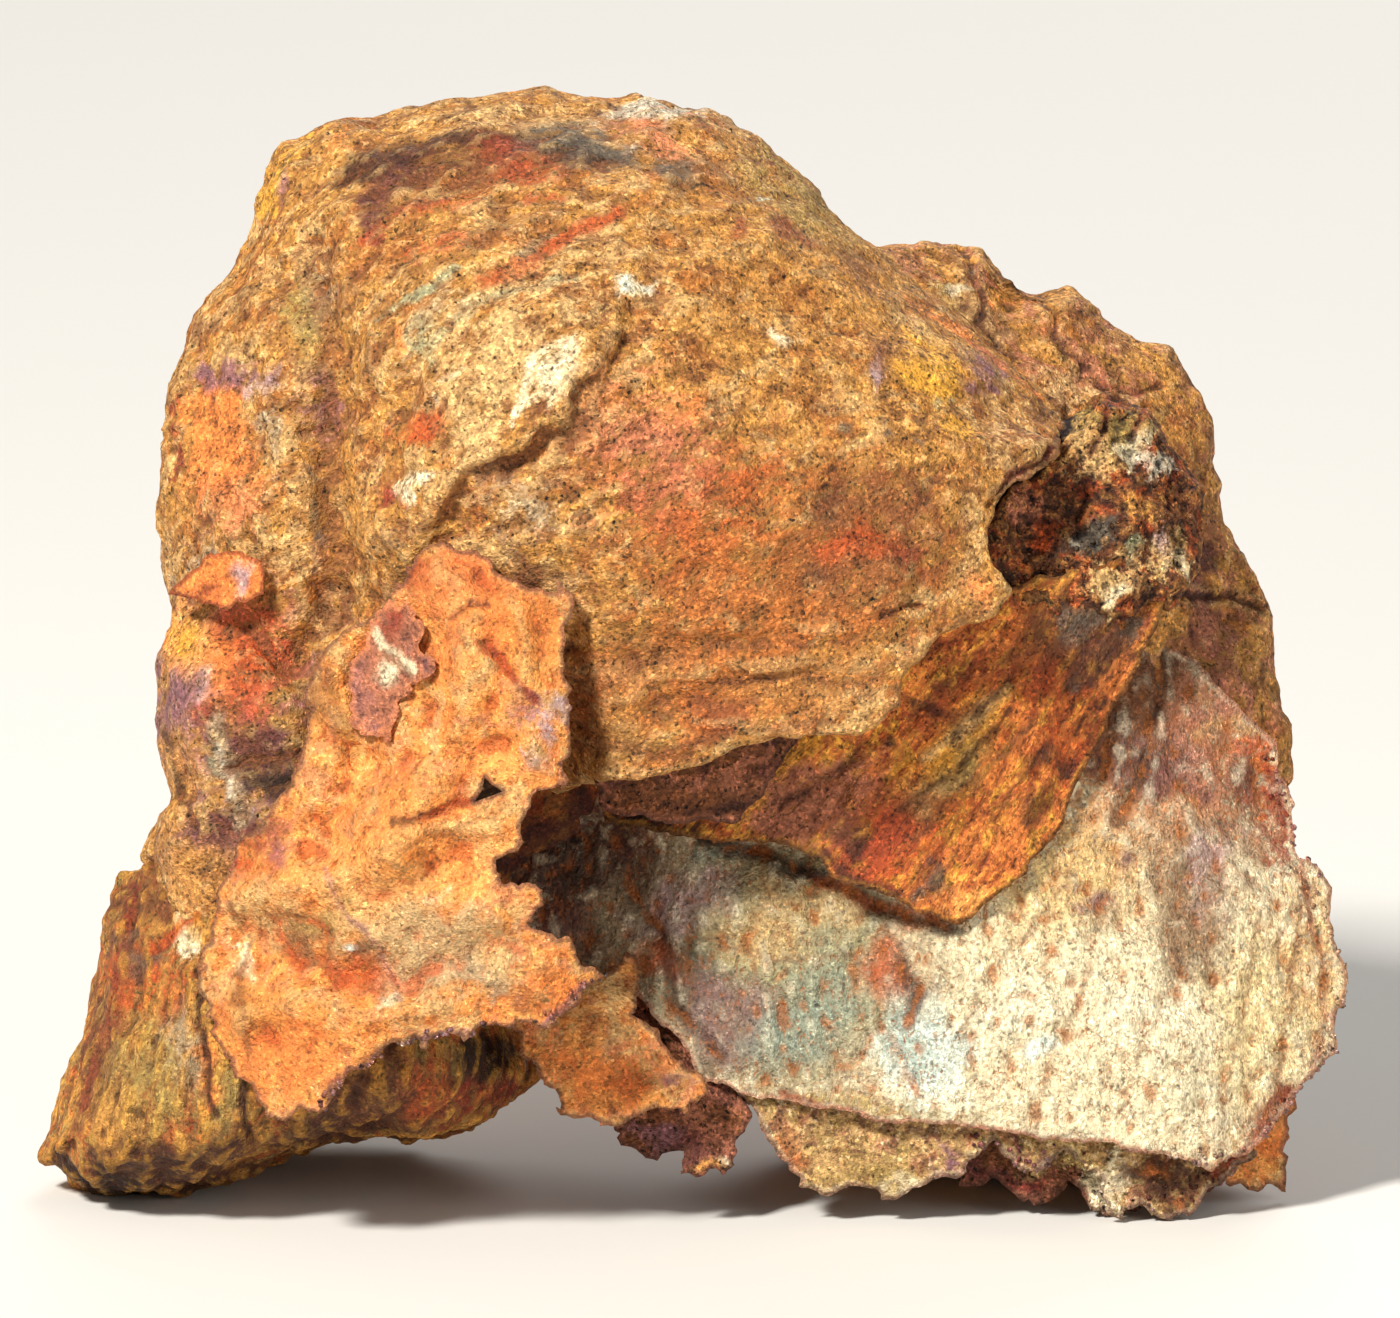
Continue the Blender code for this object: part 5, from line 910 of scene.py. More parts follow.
def reach(outline, middle, bearings):
    """How far an outline lies from its middle at each bearing."""
    rays = np.column_stack([np.cos(bearings), np.sin(bearings)])
    far = np.zeros(len(bearings))
    for start, end in zip(outline, np.roll(outline, -1, axis=0)):
        start, along = np.subtract(start, middle), np.subtract(end, start)
        cross = rays[:, 0] * along[1] - rays[:, 1] * along[0]
        cross = np.where(abs(cross) < 1e-9, 1e-9, cross)
        distance = (start[0] * along[1] - start[1] * along[0]) / cross
        share = (start[0] * rays[:, 1] - start[1] * rays[:, 0]) / cross
        hit = (share >= -1e-6) & (share <= 1 + 1e-6) & (distance > 0)
        far = np.where(hit, np.maximum(far, distance), far)
    return far


def to_world(points):
    """Places on the leaning face as places in the standing mass, in metres."""
    u, v, w = points.T
    x = u - MIDDLE[0]
    y = v * math.sin(LEAN) - w * math.cos(LEAN) - MIDDLE[1]
    z = v * math.cos(LEAN) + w * math.sin(LEAN)
    return np.column_stack([x, y, z]) * MM


def to_face(places):
    """Places in the standing mass as places on its face, in millimetres."""
    x, y, z = (places / MM).T
    y = y + MIDDLE[1]
    return np.column_stack([x + MIDDLE[0], y * math.sin(LEAN) + z * math.cos(LEAN),
                            z * math.sin(LEAN) - y * math.cos(LEAN)])


def spaced(path, step, closed=True):
    """Points along a path, about a step apart, with its corners kept."""
    points = []
    stops = [*path, path[0]] if closed else path
    for start, end in zip(stops, stops[1:]):
        start, end = np.array(start, float), np.array(end, float)
        pieces = max(1, round(np.hypot(*(end - start)) / step))
        points += [start + (end - start) * piece / pieces for piece in range(pieces)]
    return np.array(points)


def torn_edge(outline, seed, thin):
    """An outline as close points, with the small notches of a torn edge, deeper where a leaf is thin."""
    points = spaced(outline, RIM_STEP)
    flat = np.column_stack([points, np.zeros(len(points))])
    tear = millimetres("tear") * (THIN_TEAR if thin else 1)
    for axis, shift in ((0, seed), (1, seed + 5)):
        points[:, axis] += crumple(flat, RIM_CELL, RIM_TEAR, shift)
        points[:, axis] += sum(share * tear * fractal(flat, cell, shift + more, sizes)
                               for cell, share, more, sizes in NOTCHES)
    return points


def even_points(outline, step):
    """Points on a grid of equal triangles that covers an outline's box."""
    low, high = np.min(outline, axis=0), np.max(outline, axis=0)
    rows = []
    for row in range(int((high[1] - low[1]) / (step * ROW_SHARE)) + 1):
        across = np.arange(low[0] + step / 2 * (row % 2), high[0], step)
        rows.append(np.column_stack([across, np.full(len(across), low[1] + row * step * ROW_SHARE)]))
    return np.concatenate(rows)


def beside(path, gap):
    """Points on both sides of a path, so that the mesh can step or fold there."""
    points = spaced(path, CREASE_STEP, closed=False)
    along = np.gradient(points, axis=0)
    across = np.column_stack([-along[:, 1], along[:, 0]]) / np.hypot(*along.T)[:, None]
    return np.concatenate([points + across * gap, points - across * gap])


def triangles(loops, inner):
    """Points inside the first loop and outside the others, joined into triangles."""
    at = np.concatenate([*loops, inner])
    edges = []
    first = 0
    for loop in loops:
        edges += [(first + i, first + (i + 1) % len(loop)) for i in range(len(loop))]
        first += len(loop)
    places, _, cells, _, _, _ = delaunay_2d_cdt([Vector(p) for p in at], edges, [], 0, 1e-5)
    at = np.array([tuple(place) for place in places])
    cells = np.array(cells)
    centres = at[cells].mean(axis=1)
    kept = inside(centres, loops[0])
    for hole in loops[1:]:
        kept &= ~inside(centres, hole)
    return at, cells[kept]


def two_sided(cells, count):
    """Faces of a closed skin: the cells, the same cells on a second layer, and a wall round them."""
    ways = np.concatenate([cells[:, [0, 1]], cells[:, [1, 2]], cells[:, [2, 0]]])
    known = set(map(tuple, ways.tolist()))
    rim = [(a, b) for a, b in ways.tolist() if (b, a) not in known]
    wall = [(a, a + count, b + count) for a, b in rim] + [(a, b + count, b) for a, b in rim]
    return np.concatenate([cells, cells[:, ::-1] + count, np.array(wall)])


def share_of(at, outline, middle):
    """How far each place lies out from the middle, as a share of the way to the outline."""
    out = at - np.array(middle, float)
    return np.hypot(*out.T) / reach(outline, middle, np.arctan2(out[:, 1], out[:, 0]))


def round_skin(share, level, rim, sharp):
    """A skin that starts at depth rim on the outline and swells to its level inside it."""
    return rim + (level - rim) * (1 - np.minimum(share, 1) ** sharp) ** 0.5


def lump_skin(outline, middle, height, back, rim, seed, sharp=LUMP_SHARP, rough=1.0, lip=None, creases=()):
    """Points and faces of a pebble on its outline: a front through height, a back through back, and a
    round rim at depth rim. Between the two bearings of lip its edge is free, thin and undercut."""
    middle = np.array(middle, float)
    edge = spaced(outline, LUMP_STEP * EDGE_SHARE)
    rings = [middle + part * (edge - middle) for part in LUMP_RINGS]
    inner = np.concatenate([even_points(outline, LUMP_STEP), *[beside(path, CREASE_GAP) for path in creases]])
    inner = inner[share_of(inner, outline, middle) < LUMP_RINGS[-1] - RING_GAP]
    at, cells = triangles([edge], np.concatenate([*[ring[inside(ring, edge)] for ring in rings], inner]))
    share = np.minimum(share_of(at, outline, middle), 1)
    share[:len(edge)] = 1
    top = round_skin(share, height(at), rim, sharp)
    low = round_skin(share, back(at), rim, sharp)
    if lip:
        bearings = np.degrees(np.arctan2(*(at - middle).T[::-1]))
        free = np.clip((lip[0] - bearings) / LIP_FADES[0], 0, 1)
        free *= np.clip((bearings - lip[1]) / LIP_FADES[1], 0, 1)
        free = smooth_step(0, 1, free)
        top += (height(at) - top) * free
        under = np.maximum(top - np.interp(share, *np.transpose(LIP_PROFILE)), back(at))
        low += (under - low) * free
    top += crumple(np.column_stack([at, top]), LUMP_CELL, rough, seed)
    low += crumple(np.column_stack([at, low]), LUMP_CELL, rough, seed)
    low = np.minimum(low, top - LUMP_RIM)
    flat = np.column_stack([at, np.zeros(len(at))])
    sway = [crumple(flat, LUMP_CELL, rough, seed + 1), crumple(flat, LUMP_CELL, rough, seed + 2)]
    at = at + LUMP_SWAY * np.column_stack(sway)
    points = np.concatenate([np.column_stack([at, top]), np.column_stack([at, low])])
    return points, two_sided(cells, len(at))


def back_of_mass(at):
    """Depth of the back of the whole mass."""
    depth = np.zeros(len(at))
    for _, outline, middle, _, back, rim, _, more in BROAD_LUMPS:
        sharp = more.get("sharp", LUMP_SHARP)
        skin = round_skin(share_of(at, outline, middle), surface(back)(at), rim, sharp)
        depth = np.where(inside(at, outline), np.minimum(depth, skin), depth)
    return depth


# Meshes.


def new_piece(name, points, faces):
    """An object from places on the face and triangles."""
    mesh = bpy.data.meshes.new(name)
    faces = np.asarray(faces, np.int32)
    mesh.vertices.add(len(points))
    mesh.vertices.foreach_set("co", to_world(points).astype(np.float32).ravel())
    mesh.loops.add(faces.size)
    mesh.loops.foreach_set("vertex_index", faces.ravel())
    mesh.polygons.add(len(faces))
    mesh.polygons.foreach_set("loop_start", np.arange(len(faces), dtype=np.int32) * 3)
    mesh.update(calc_edges=True)
    mesh.validate()
    piece = bpy.data.objects.new(name, mesh)
    bpy.context.scene.collection.objects.link(piece)
    return piece


def numbers_of(items, name, wide, kind=np.float32):
    """What each item of a mesh holds under a name, one row to an item."""
    values = np.zeros(len(items) * wide, kind)
    items.foreach_get(name, values)
    return values.reshape(-1, wide)


def places_of(mesh):
    """Places of a mesh's points, in metres."""
    return numbers_of(mesh.vertices, "co", 3).astype(float)


def normals_of(mesh):
    return numbers_of(mesh.vertex_normals, "vector", 3).astype(float)


def edges_of(mesh):
    return numbers_of(mesh.edges, "vertices", 2, np.int32)


def averaged(values, edges):
    """Each value evened out with those of its neighbours."""
    count = len(values)
    first, second = edges.T
    total = np.bincount(first, values[second], count) + np.bincount(second, values[first], count)
    joined = np.bincount(edges.ravel(), minlength=count)
    return (values + total) / (1 + joined)


def remeshed(piece, voxel):
    """The piece with an even skin of square cells over everything joined in it."""
    modifier = piece.modifiers.new("even skin", "REMESH")
    modifier.mode = "VOXEL"
    modifier.voxel_size = voxel
    evaluated = piece.evaluated_get(bpy.context.evaluated_depsgraph_get())
    mesh = bpy.data.meshes.new_from_object(evaluated)
    old = piece.data
    piece.modifiers.remove(modifier)
    piece.data = mesh
    bpy.data.meshes.remove(old)
    mesh.name = piece.name
    return piece


def relieved(piece, relief):
    """The piece with its skin moved in and out by relief(places on the face, normals)."""
    mesh = piece.data
    places, normals = places_of(mesh), normals_of(mesh)
    face_normals = np.column_stack([
        normals[:, 0],
        normals[:, 1] * math.sin(LEAN) + normals[:, 2] * math.cos(LEAN),
        normals[:, 2] * math.sin(LEAN) - normals[:, 1] * math.cos(LEAN),
    ])
    places += normals * relief(to_face(places), face_normals)[:, None] * MM
    set_places(mesh, places)
    return piece


def set_places(mesh, places):
    """Moves a mesh's points, with none below the ground that the mass stands on."""
    places[:, 2] = np.maximum(places[:, 2], 0)
    mesh.vertices.foreach_set("co", places.astype(np.float32).ravel())
    mesh.update()


def write_value(mesh, name, values):
    layer = mesh.attributes.new(name, "FLOAT", "POINT")
    layer.data.foreach_set("value", values.astype(np.float32))


def hollows(mesh):
    """How deep each point lies between its neighbours: 1 in a crack, -1 on a crest."""
    places, normals, edges = places_of(mesh), normals_of(mesh), edges_of(mesh)
    near = np.column_stack([averaged(places[:, axis], edges) for axis in range(3)])
    wide = near
    for _ in range(3):
        wide = np.column_stack([averaged(wide[:, axis], edges) for axis in range(3)])
    depth = ((near - places) * HOLLOW_SHARES[0] + (wide - places) * HOLLOW_SHARES[1]) * normals
    spacing = np.hypot(*(places[edges[:, 0]] - places[edges[:, 1]]).T[:2]).mean() + 1e-9
    return np.clip(averaged(depth.sum(axis=1), edges) / spacing, -1, 1)


def swaying(face, waves, seed):
    """How far each place is moved along the face by waves of a few sizes."""
    return np.column_stack([
        sum(height * fractal(face, cell, seed + shift + axis, sizes) for height, cell, shift, sizes in waves)
        for axis in range(2)
    ])


def wavering(face):
    """Places on the face, swayed so that a line drawn along a path wanders as a crack does."""
    return face[:, :2] + swaying(face, WAVES, WAVER_SEED)


def laid_over(colour, cover, share, stain_tone):
    """A stain laid over those before it."""
    share = np.clip(share, 0, 1)
    colour = colour * (1 - share)[:, None] + share[:, None] * np.array(stain_tone)
    return colour, cover + share * (1 - cover)


def stained(piece, stains, marks, seed):
    """Writes the colour and cover of the stains and marks, some of them painted shade and sheen, and the
    hollows, on the piece's points.
    """
    mesh = piece.data
    face = to_face(places_of(mesh))
    tones = bpy.context.scene.copper_tones
    sway = swaying(face, STAIN_WAVES, seed)
    sway *= (1 + SIDE_SWAY * np.clip(SIDE_DEPTH - face[:, 2], 0, SIDE_REACH))[:, None]
    cell, shift, sizes, gain = PATCHES
    patchy = 0.5 + 0.5 * fractal(face, cell, seed + shift, sizes, gain)
    stain_part, mark_part = (least + more * patchy for least, more in (STAIN_PATCHES, MARK_PATCHES))
    front = smooth_step(*FRONT_DEPTHS, face[:, 2])
    colour = np.zeros((len(face), 3))
    cover = np.zeros(len(face))
    for group, side in ((stains, front), (BACK_STAINS, 1 - front)):
        at = face[:, :2] + sway
        for name, u, v, wide, tall, turn, strength in group:
            turn = math.radians(turn)
            du, dv = at[:, 0] - u, at[:, 1] - v
            along = (du * math.cos(turn) + dv * math.sin(turn)) / wide
            across = (dv * math.cos(turn) - du * math.sin(turn)) / tall
            share = smooth_step(*STAIN_FADE, np.hypot(along, across)) * strength * stain_part * side
            colour, cover = laid_over(colour, cover, share, getattr(tones, name))
    close = wavering(face)
    for name, path, wide, strength in marks:
        share = smooth_step(*MARK_FADE, from_path(close, path)[0] / wide) * strength * mark_part * front
        colour, cover = laid_over(colour, cover, share, getattr(tones, name))
    layer = mesh.attributes.new("stain", "FLOAT_COLOR", "POINT")
    layer.data.foreach_set("color", np.column_stack([
        colour / np.maximum(cover, 1e-4)[:, None], np.ones(len(face)),
    ]).astype(np.float32).ravel())
    write_value(mesh, "cover", cover)
    write_value(mesh, "hollow", hollows(mesh))


def leaf_piece(name, outline, height, thickness, seed, rough, holes, step, relief):
    """A thin sheet, bent to a height, cut to an outline and thinned towards its torn edge."""
    loops = [torn_edge(outline, seed, thickness < THIN_LEAF), *[spaced(hole, RIM_STEP) for hole in holes]]
    inner = even_points(outline, step)
    inner = inner[inside(inner, loops[0])]
    for hole in loops[1:]:
        inner = inner[~inside(inner, hole)]
    rim_points = np.concatenate(loops)
    tree = KDTree(len(rim_points))
    for number, (u, v) in enumerate(rim_points):
        tree.insert((u, v, 0), number)
    tree.balance()
    gap = np.array([tree.find((u, v, 0))[2] for u, v in inner])
    at, cells = triangles(loops, inner[gap > step * RIM_CLEAR])
    gap = np.array([tree.find((u, v, 0))[2] for u, v in at])
    flat = np.column_stack([at, np.zeros(len(at))])
    front = height(at) + crumple(flat, LEAF_CELL, rough, seed)
    inward = smooth_step(0, millimetres("rim_taper"), gap)
    thick = millimetres("torn_rim") + (thickness - millimetres("torn_rim")) * inward
    swell = relief(np.column_stack([at, front]))
    curled = CURL_MEAN + fractal(flat, CURL_CELL, seed + 90, 2)
    front += millimetres("curl") * np.exp(-gap / CURL_FADE) * curled
    points = np.concatenate([
        np.column_stack([at, front + swell * (LEAF_RIM_RELIEF + (1 - LEAF_RIM_RELIEF) * inward)]),
        np.column_stack([at, front - thick + LEAF_BACK_RELIEF * swell]),
    ])
    piece = new_piece(name, points, two_sided(cells, len(at)))
    set_places(piece.data, places_of(piece.data))
    write_value(piece.data, "rim", np.tile(np.exp(-gap / RIM_FADE), 2))
    return piece


def lump_piece(name, lumps, voxel, relief):
    """Lumps joined into one even skin, with a relief."""
    points, faces, first = [], [], 0
    for lump in lumps:
        skin_points, skin_faces = lump_of(lump)
        points.append(skin_points)
        faces.append(skin_faces + first)
        first += len(skin_points)
    piece = remeshed(new_piece(name, np.concatenate(points), np.concatenate(faces)), voxel)
    return relieved(piece, relief)


def lump_of(name):
    """Points and faces of one lump of the mass."""
    _, outline, middle, levels, back, rim, seed, more = next(row for row in LUMPS if row[0] == name)
    height, creases = (dome_height, (SHELF, VALLEY)) if name == "dome" else (surface(levels), ())
    return lump_skin(outline, middle, height, surface(back), rim, seed, creases=creases, **more)


def cracks(face, marks, depth):
    """Grooves under the dark lines of a piece."""
    at = wavering(face)
    total = np.zeros(len(at))
    for name, path, wide, strength in marks:
        if name in CRACK_TONES:
            total += groove(at, path, wide * CRACK_WIDTH, depth * strength)
    return total


def front_cracks(face, normals, marks, depth):
    """The same, only where a lump faces the front."""
    return cracks(face, marks, depth) * smooth_step(*FACING, normals[:, 2])


# Reliefs of the skins, in millimetres outwards. The numbers that a noise takes after its places are
# its largest size in millimetres, its seed, its count of sizes and how much each next one keeps.


def dome_relief(face, normals):
    """Flakes that run in arcs round the dome, with ridges at its upper left, wrinkles low down,
    crumbs and cracks."""
    out = face[:, :2] - np.array(DOME_MIDDLE)
    arc = np.column_stack([np.hypot(*out.T) * 1.6, np.arctan2(out[:, 1], out[:, 0]) * 12, face[:, 2]])
    # Flakes stand out at the left, at the right end and round the back.
    flaky = smooth_step(2, -16, face[:, 0]) + smooth_step(20, 34, face[:, 0])
    flaky = np.clip(flaky + smooth_step(-10, -16, face[:, 2]), 0.3, 1)
    height = millimetres("flake") * flaky * (flakes(arc, 8, 101, 4) - 0.5)
    height += 0.5 * fractal(face, 6, 115, 3) + 0.3 * fractal(face * (0.7, 1.4, 1), 2.2, 116, 2)
    height += groove(wavering(face), WALL_LINE, *WALL_CUT) + groove(wavering(face), DOME_BEND, *BEND_CUT)
    chiselled = smooth_step(60, 76, face[:, 1]) * smooth_step(14, -4, face[:, 0])
    height += chiselled * (0.35 - 1.0 * abs(fractal(drawn_out(face, 34, 3), 4.2, 119, 3)))
    wrinkled = smooth_step(64, 52, face[:, 1]) * smooth_step(-20, -14, face[:, 0])
    height += 0.5 * wrinkled * fractal(face / (5, 1, 3), 1.7, 118, 2)
    height += crumbs(face, 121)
    return height + front_cracks(face, normals, DOME_MARKS + WALL_MARKS, 0.8)


def crumbs(face, seed, share=1.0):
    """Small bumps of two sizes."""
    bumps = 0.6 * fractal(face, 2.4, seed, 3) + 0.45 * fractal(face, 1.0, seed + 5, 2)
    return millimetres("crumb") * share * bumps


def drawn_out(face, turn, long):
    """Places on which noise is drawn out along the direction at this turn."""
    turn = math.radians(turn)
    along = face[:, 0] * math.cos(turn) + face[:, 1] * math.sin(turn)
    across = face[:, 1] * math.cos(turn) - face[:, 0] * math.sin(turn)
    return np.column_stack([along / long, across, face[:, 2]])


def flank_relief(face, normals):
    """Tall flakes, crumbs and cracks."""
    height = 0.9 * millimetres("flake") * (flakes(face * (1, 0.6, 1), 8, 131, 4) - 0.5)
    height += 0.4 * fractal(face, 5, 135, 2)
    return height + crumbs(face, 141) + front_cracks(face, normals, FLANK_MARKS, 0.8)


def knot_relief(face, normals):
    """Coarse crumbs with deep gaps."""
    height = 1.3 * fractal(face, 3.0, 151, 3) + 0.8 * (flakes(face, 2.2, 161, 3) - 0.5)
    height += front_cracks(face, normals, KNOT_MARKS, 0.9)
    return height + crumbs(face, 171, 1.3)


def block_relief(face, normals):
    """Long fibres that run up the block, and flakes."""
    bend = face[:, 0] + 0.012 * (face[:, 1] - 22) ** 2 + fractal(face, 9, 181, 2)
    fibres = np.column_stack([bend / 1.6, face[:, 1] / 9, face[:, 2] / 2.4])
    height = 1.3 * fractal(fibres, 1.6, 191, 3) + 0.7 * millimetres("flake") * (flakes(face, 6, 201, 4) - 0.5)
    return height + crumbs(face, 211, 0.8) + front_cracks(face, normals, BLOCK_MARKS, 1.0)


def core_relief(face, normals):
    """Flakes and crumbs alone, because the core hardly shows."""
    return 0.8 * millimetres("flake") * (flakes(face, 7, 221) - 0.5) + crumbs(face, 231, 1.2)


def back_relief(face):
    """Low flakes with crumbs, for the leaves of the back."""
    return 0.6 * millimetres("flake") * (flakes(face, 7, 241, 4) - 0.5) + crumbs(face, 251)


def crumpled_relief(face):
    """Soft facets of a crumpled sheet, with a fine pebbled skin."""
    folds = 1 - 2 * abs(fractal(face, 9, 261, 2))
    return 1.0 * folds + 0.45 * fractal(face, 3.6, 271, 3) + crumbs(face, 281, 0.6)


def front_relief(face):
    """A crumpled sheet with the front leaf's own folds, creases and chip."""
    height = crumpled_relief(face) + cracks(face, FRONT_MARKS, 0.6)
    for path, wide, rise in FRONT_FOLDS:
        height += groove(wavering(face), path, wide, -rise)
    chip = inside(face[:, :2] + swaying(face, CHIP_WAVES, 291), CHIP)
    return height - CHIP_DEPTH * chip


def sheet_relief(face):
    """Small ragged flakes with fine upright ribs between them."""
    ribs = np.column_stack([face[:, 0] / 0.9 + 0.8 * fractal(face, 6, 301, 2), face[:, 1] / 5, face[:, 2]])
    height = 0.9 * (flakes(face * (1, 0.7, 1), 3.0, 311, 5) - 0.5) + 0.25 * fractal(ribs, 1.2, 321, 2)
    height += 0.5 * fractal(face * (1, 0.7, 1), 1.5, 326, 2)
    height += 0.9 * fractal(face, 11, 331, 2)
    return height + crumbs(face, 341, 0.7) + cracks(face, RIGHT_MARKS, 0.5)


def tongue_relief(face):
    """Ribs that run up and to the right, where the sheet was drawn out."""
    ribs = drawn_out(face, TONGUE_GRAIN, 5) + 0.5 * fractal(face, 5, 351, 2)[:, None]
    return 0.7 * fractal(ribs, 1.7, 361, 4, 0.65) + crumbs(face, 371, 1.0) + cracks(face, TONGUE_MARKS, 0.5)


def thin_relief(face):
    """Low bumps, for the small leaves."""
    return 0.3 * fractal(face, 3.0, 381, 3) + crumbs(face, 391, 0.6)


# Finishes.


class Socket:
    """A node's output that takes part in sums; each sum adds its Math node."""

    def __init__(self, tree, output):
        self.tree = tree
        self.output = output

    def node(self, kind, settings=None, inputs=None, output=0):
        """A new node in the same tree, with its settings set first and then its sockets."""
        made = self.tree.nodes.new(kind)
        for name, value in (settings or {}).items():
            setattr(made, name, value)
        for name, value in (inputs or {}).items():
            if isinstance(value, Socket):
                self.tree.links.new(value.output, made.inputs[name])
            else:
                made.inputs[name].default_value = value
        return Socket(self.tree, made.outputs[output])

    def sum(self, operation, first, second):
        return self.node("ShaderNodeMath", {"operation": operation}, {0: first, 1: second})

    def __add__(self, other):
        return self.sum("ADD", self, other)

    __radd__ = __add__

    def __sub__(self, other):
        return self.sum("SUBTRACT", self, other)

    def __rsub__(self, other):
        return self.sum("SUBTRACT", other, self)

    def __mul__(self, other):
        return self.sum("MULTIPLY", self, other)

    __rmul__ = __mul__

    def ramp(self, low, high):
        """From 0 at low to 1 at high, softly."""
        return self.node("ShaderNodeMapRange", {"interpolation_type": "SMOOTHSTEP"},
                         {"Value": self, "From Min": low, "From Max": high})

    def over(self, share, under, other):
        """A colour with a share of another over it."""
        return self.node("ShaderNodeMix", {"data_type": "RGBA"}, {0: share, 6: under, 7: other}, output=2)

    def mixed(self, share, other):
        return self.over(share, self, other)


def colour(name):
    """A tone as a socket takes it."""
    return (*getattr(bpy.context.scene.copper_tones, name), 1.0)


def finish(name, base, patches, dark, pale, grain=0.5, metal=0.15, rough=0.66, stretch=(1, 1, 1), turn=0,
           size=3.0, vein=0.5, rim_tone=None, rim_share=0.7):
    """A grainy finish: a base with ragged patches of other tones, the piece's stains broken up in the
    same way, dark veins, painted shade darkening the hollows, pale crests, sandy grains and a few bright
    ones. The pattern is drawn out by stretch and turned in the face; size is that of a patch in millimetres."""
    material = bpy.data.materials.new(name)
    material.use_nodes = True
    tree = material.node_tree
    tree.nodes.clear()
    output = tree.nodes.new("ShaderNodeOutputMaterial")
    start = Socket(tree, None)
    place = start.node("ShaderNodeTexCoord", output="Object")
    mm = start.node("ShaderNodeMapping", {"vector_type": "POINT"}, {"Vector": place, "Scale": (1 / MM,) * 3})
    drawn = start.node("ShaderNodeMapping", {"vector_type": "TEXTURE"}, {
        "Vector": mm, "Rotation": (0, math.radians(-turn), 0), "Scale": stretch,
    })

    def noise(vector, scale, detail, rough_part, output="Fac"):
        return start.node("ShaderNodeTexNoise", None, {
            "Vector": vector, "Scale": scale, "Detail": detail, "Roughness": rough_part,
        }, output=output)

    sway = noise(mm, 1.1 / size, 0, 0.5, "Color")
    swayed = start.node("ShaderNodeVectorMath", {"operation": "MULTIPLY_ADD"}, {
        0: sway, 1: (size,) * 3, 2: drawn,
    })
    mottle = noise(drawn, 1.6 / size, 4, 0.7)
    fine = noise(mm, 1.8, 3, 0.75)
    cells = start.node("ShaderNodeTexVoronoi", {"feature": "F1"}, {
        "Vector": mm, "Scale": 1 / millimetres("grain"),
    })
    parts = start.node("ShaderNodeSeparateColor", None, {0: Socket(tree, cells.output.node.outputs["Color"])})
    shade, glint, _ = (Socket(tree, part) for part in parts.output.node.outputs)
    stain = start.node("ShaderNodeAttribute", {"attribute_name": "stain"}, output="Color")
    cover, hollow, rim = (start.node("ShaderNodeAttribute", {"attribute_name": name}, output="Fac")
                          for name in ("cover", "hollow", "rim"))

    speck = (shade - 0.5) * 0.16 + (fine - 0.5) * 0.5
    tint = None
    for number, patch in enumerate(patches):
        spread = noise(swayed, (0.53 + 0.31 * number) / size, 2, 0.6)
        share = (spread + speck * 0.25 + (mottle - 0.5) * 0.15).ramp(*PATCH_EDGE) * PATCH_SHARE
        tint = start.over(share, tint or colour(base), colour(patch))
    tint = tint.mixed((mottle + speck * 0.5).ramp(*MOTTLE_EDGE) * MOTTLE_SHARE, colour(pale))
    tint = tint.mixed((1 - mottle + speck * 0.5).ramp(*MOTTLE_EDGE) * MOTTLE_SHARE, colour(dark))
    ragged = cover + (mottle - 0.5) * 1.7 + (spread - 0.5) * 0.8 + speck
    tint = tint.mixed(ragged.ramp(*STAIN_EDGE) * STAIN_SHARE, stain)
    line = start.node("ShaderNodeMath", {"operation": "ABSOLUTE"}, {0: spread - 0.5})
    veined = (1 - line * VEIN_THIN + speck).ramp(*VEIN_EDGE) * (1 - mottle).ramp(*VEIN_GAPS)
    tint = tint.mixed(veined * vein, colour(dark))
    # Painted shade: the skin's hollows are darkened towards the dark tone, where shade would fall.
    deep = (hollow + (fine - 0.5) * 0.4).ramp(*HOLLOW_EDGE)
    tint = tint.mixed(deep * HOLLOW_SHADE_SHARE, colour(dark))
    crest = (0 - hollow + (fine - 0.5) * 0.4).ramp(*HOLLOW_EDGE)
    tint = tint.mixed(crest * CREST_SHARE, colour(pale))
    if rim_tone:
        edge = (rim + (mottle - 0.5) * 0.9).ramp(*RIM_EDGE)
        tint = tint.mixed(edge * rim_share, colour(rim_tone))
    dark_grain = (glint - (fine - 0.5) * 0.7 - (mottle - 0.5) * 0.6).ramp(*DARK_GRAIN_EDGE)
    bright_grain = (1 - glint + (fine - 0.5) * 0.7 + (mottle - 0.5) * 0.6).ramp(*BRIGHT_GRAIN_EDGE)
    sandy = (1 + (shade - 0.5) * (1.2 * grain) + (fine - 0.5) * (3.2 * grain) + (mottle - 0.5) * 1.1
             + bright_grain * (1.5 * grain) - dark_grain * (0.8 * grain))
    tint = start.node("ShaderNodeVectorMath", {"operation": "SCALE"}, {0: tint, "Scale": sandy})

    relief = fine * 1.5 + mottle * 2.6
    bumped = start.node("ShaderNodeBump", None, {
        "Strength": 1.0, "Distance": BUMP_HEIGHT * MM, "Height": relief,
    }, output="Normal")
    shader = start.node("ShaderNodeBsdfPrincipled", None, {
        "Base Color": tint,
        "Roughness": rough + (fine - 0.5) * 0.3 - bright_grain * 0.2,
        "Metallic": bright_grain * 0.3 + metal * shade * 1.4,
        "Specular IOR Level": 0.25,
        "Normal": bumped,
    }, output="BSDF")
    tree.links.new(shader.output, output.inputs["Surface"])
    return material


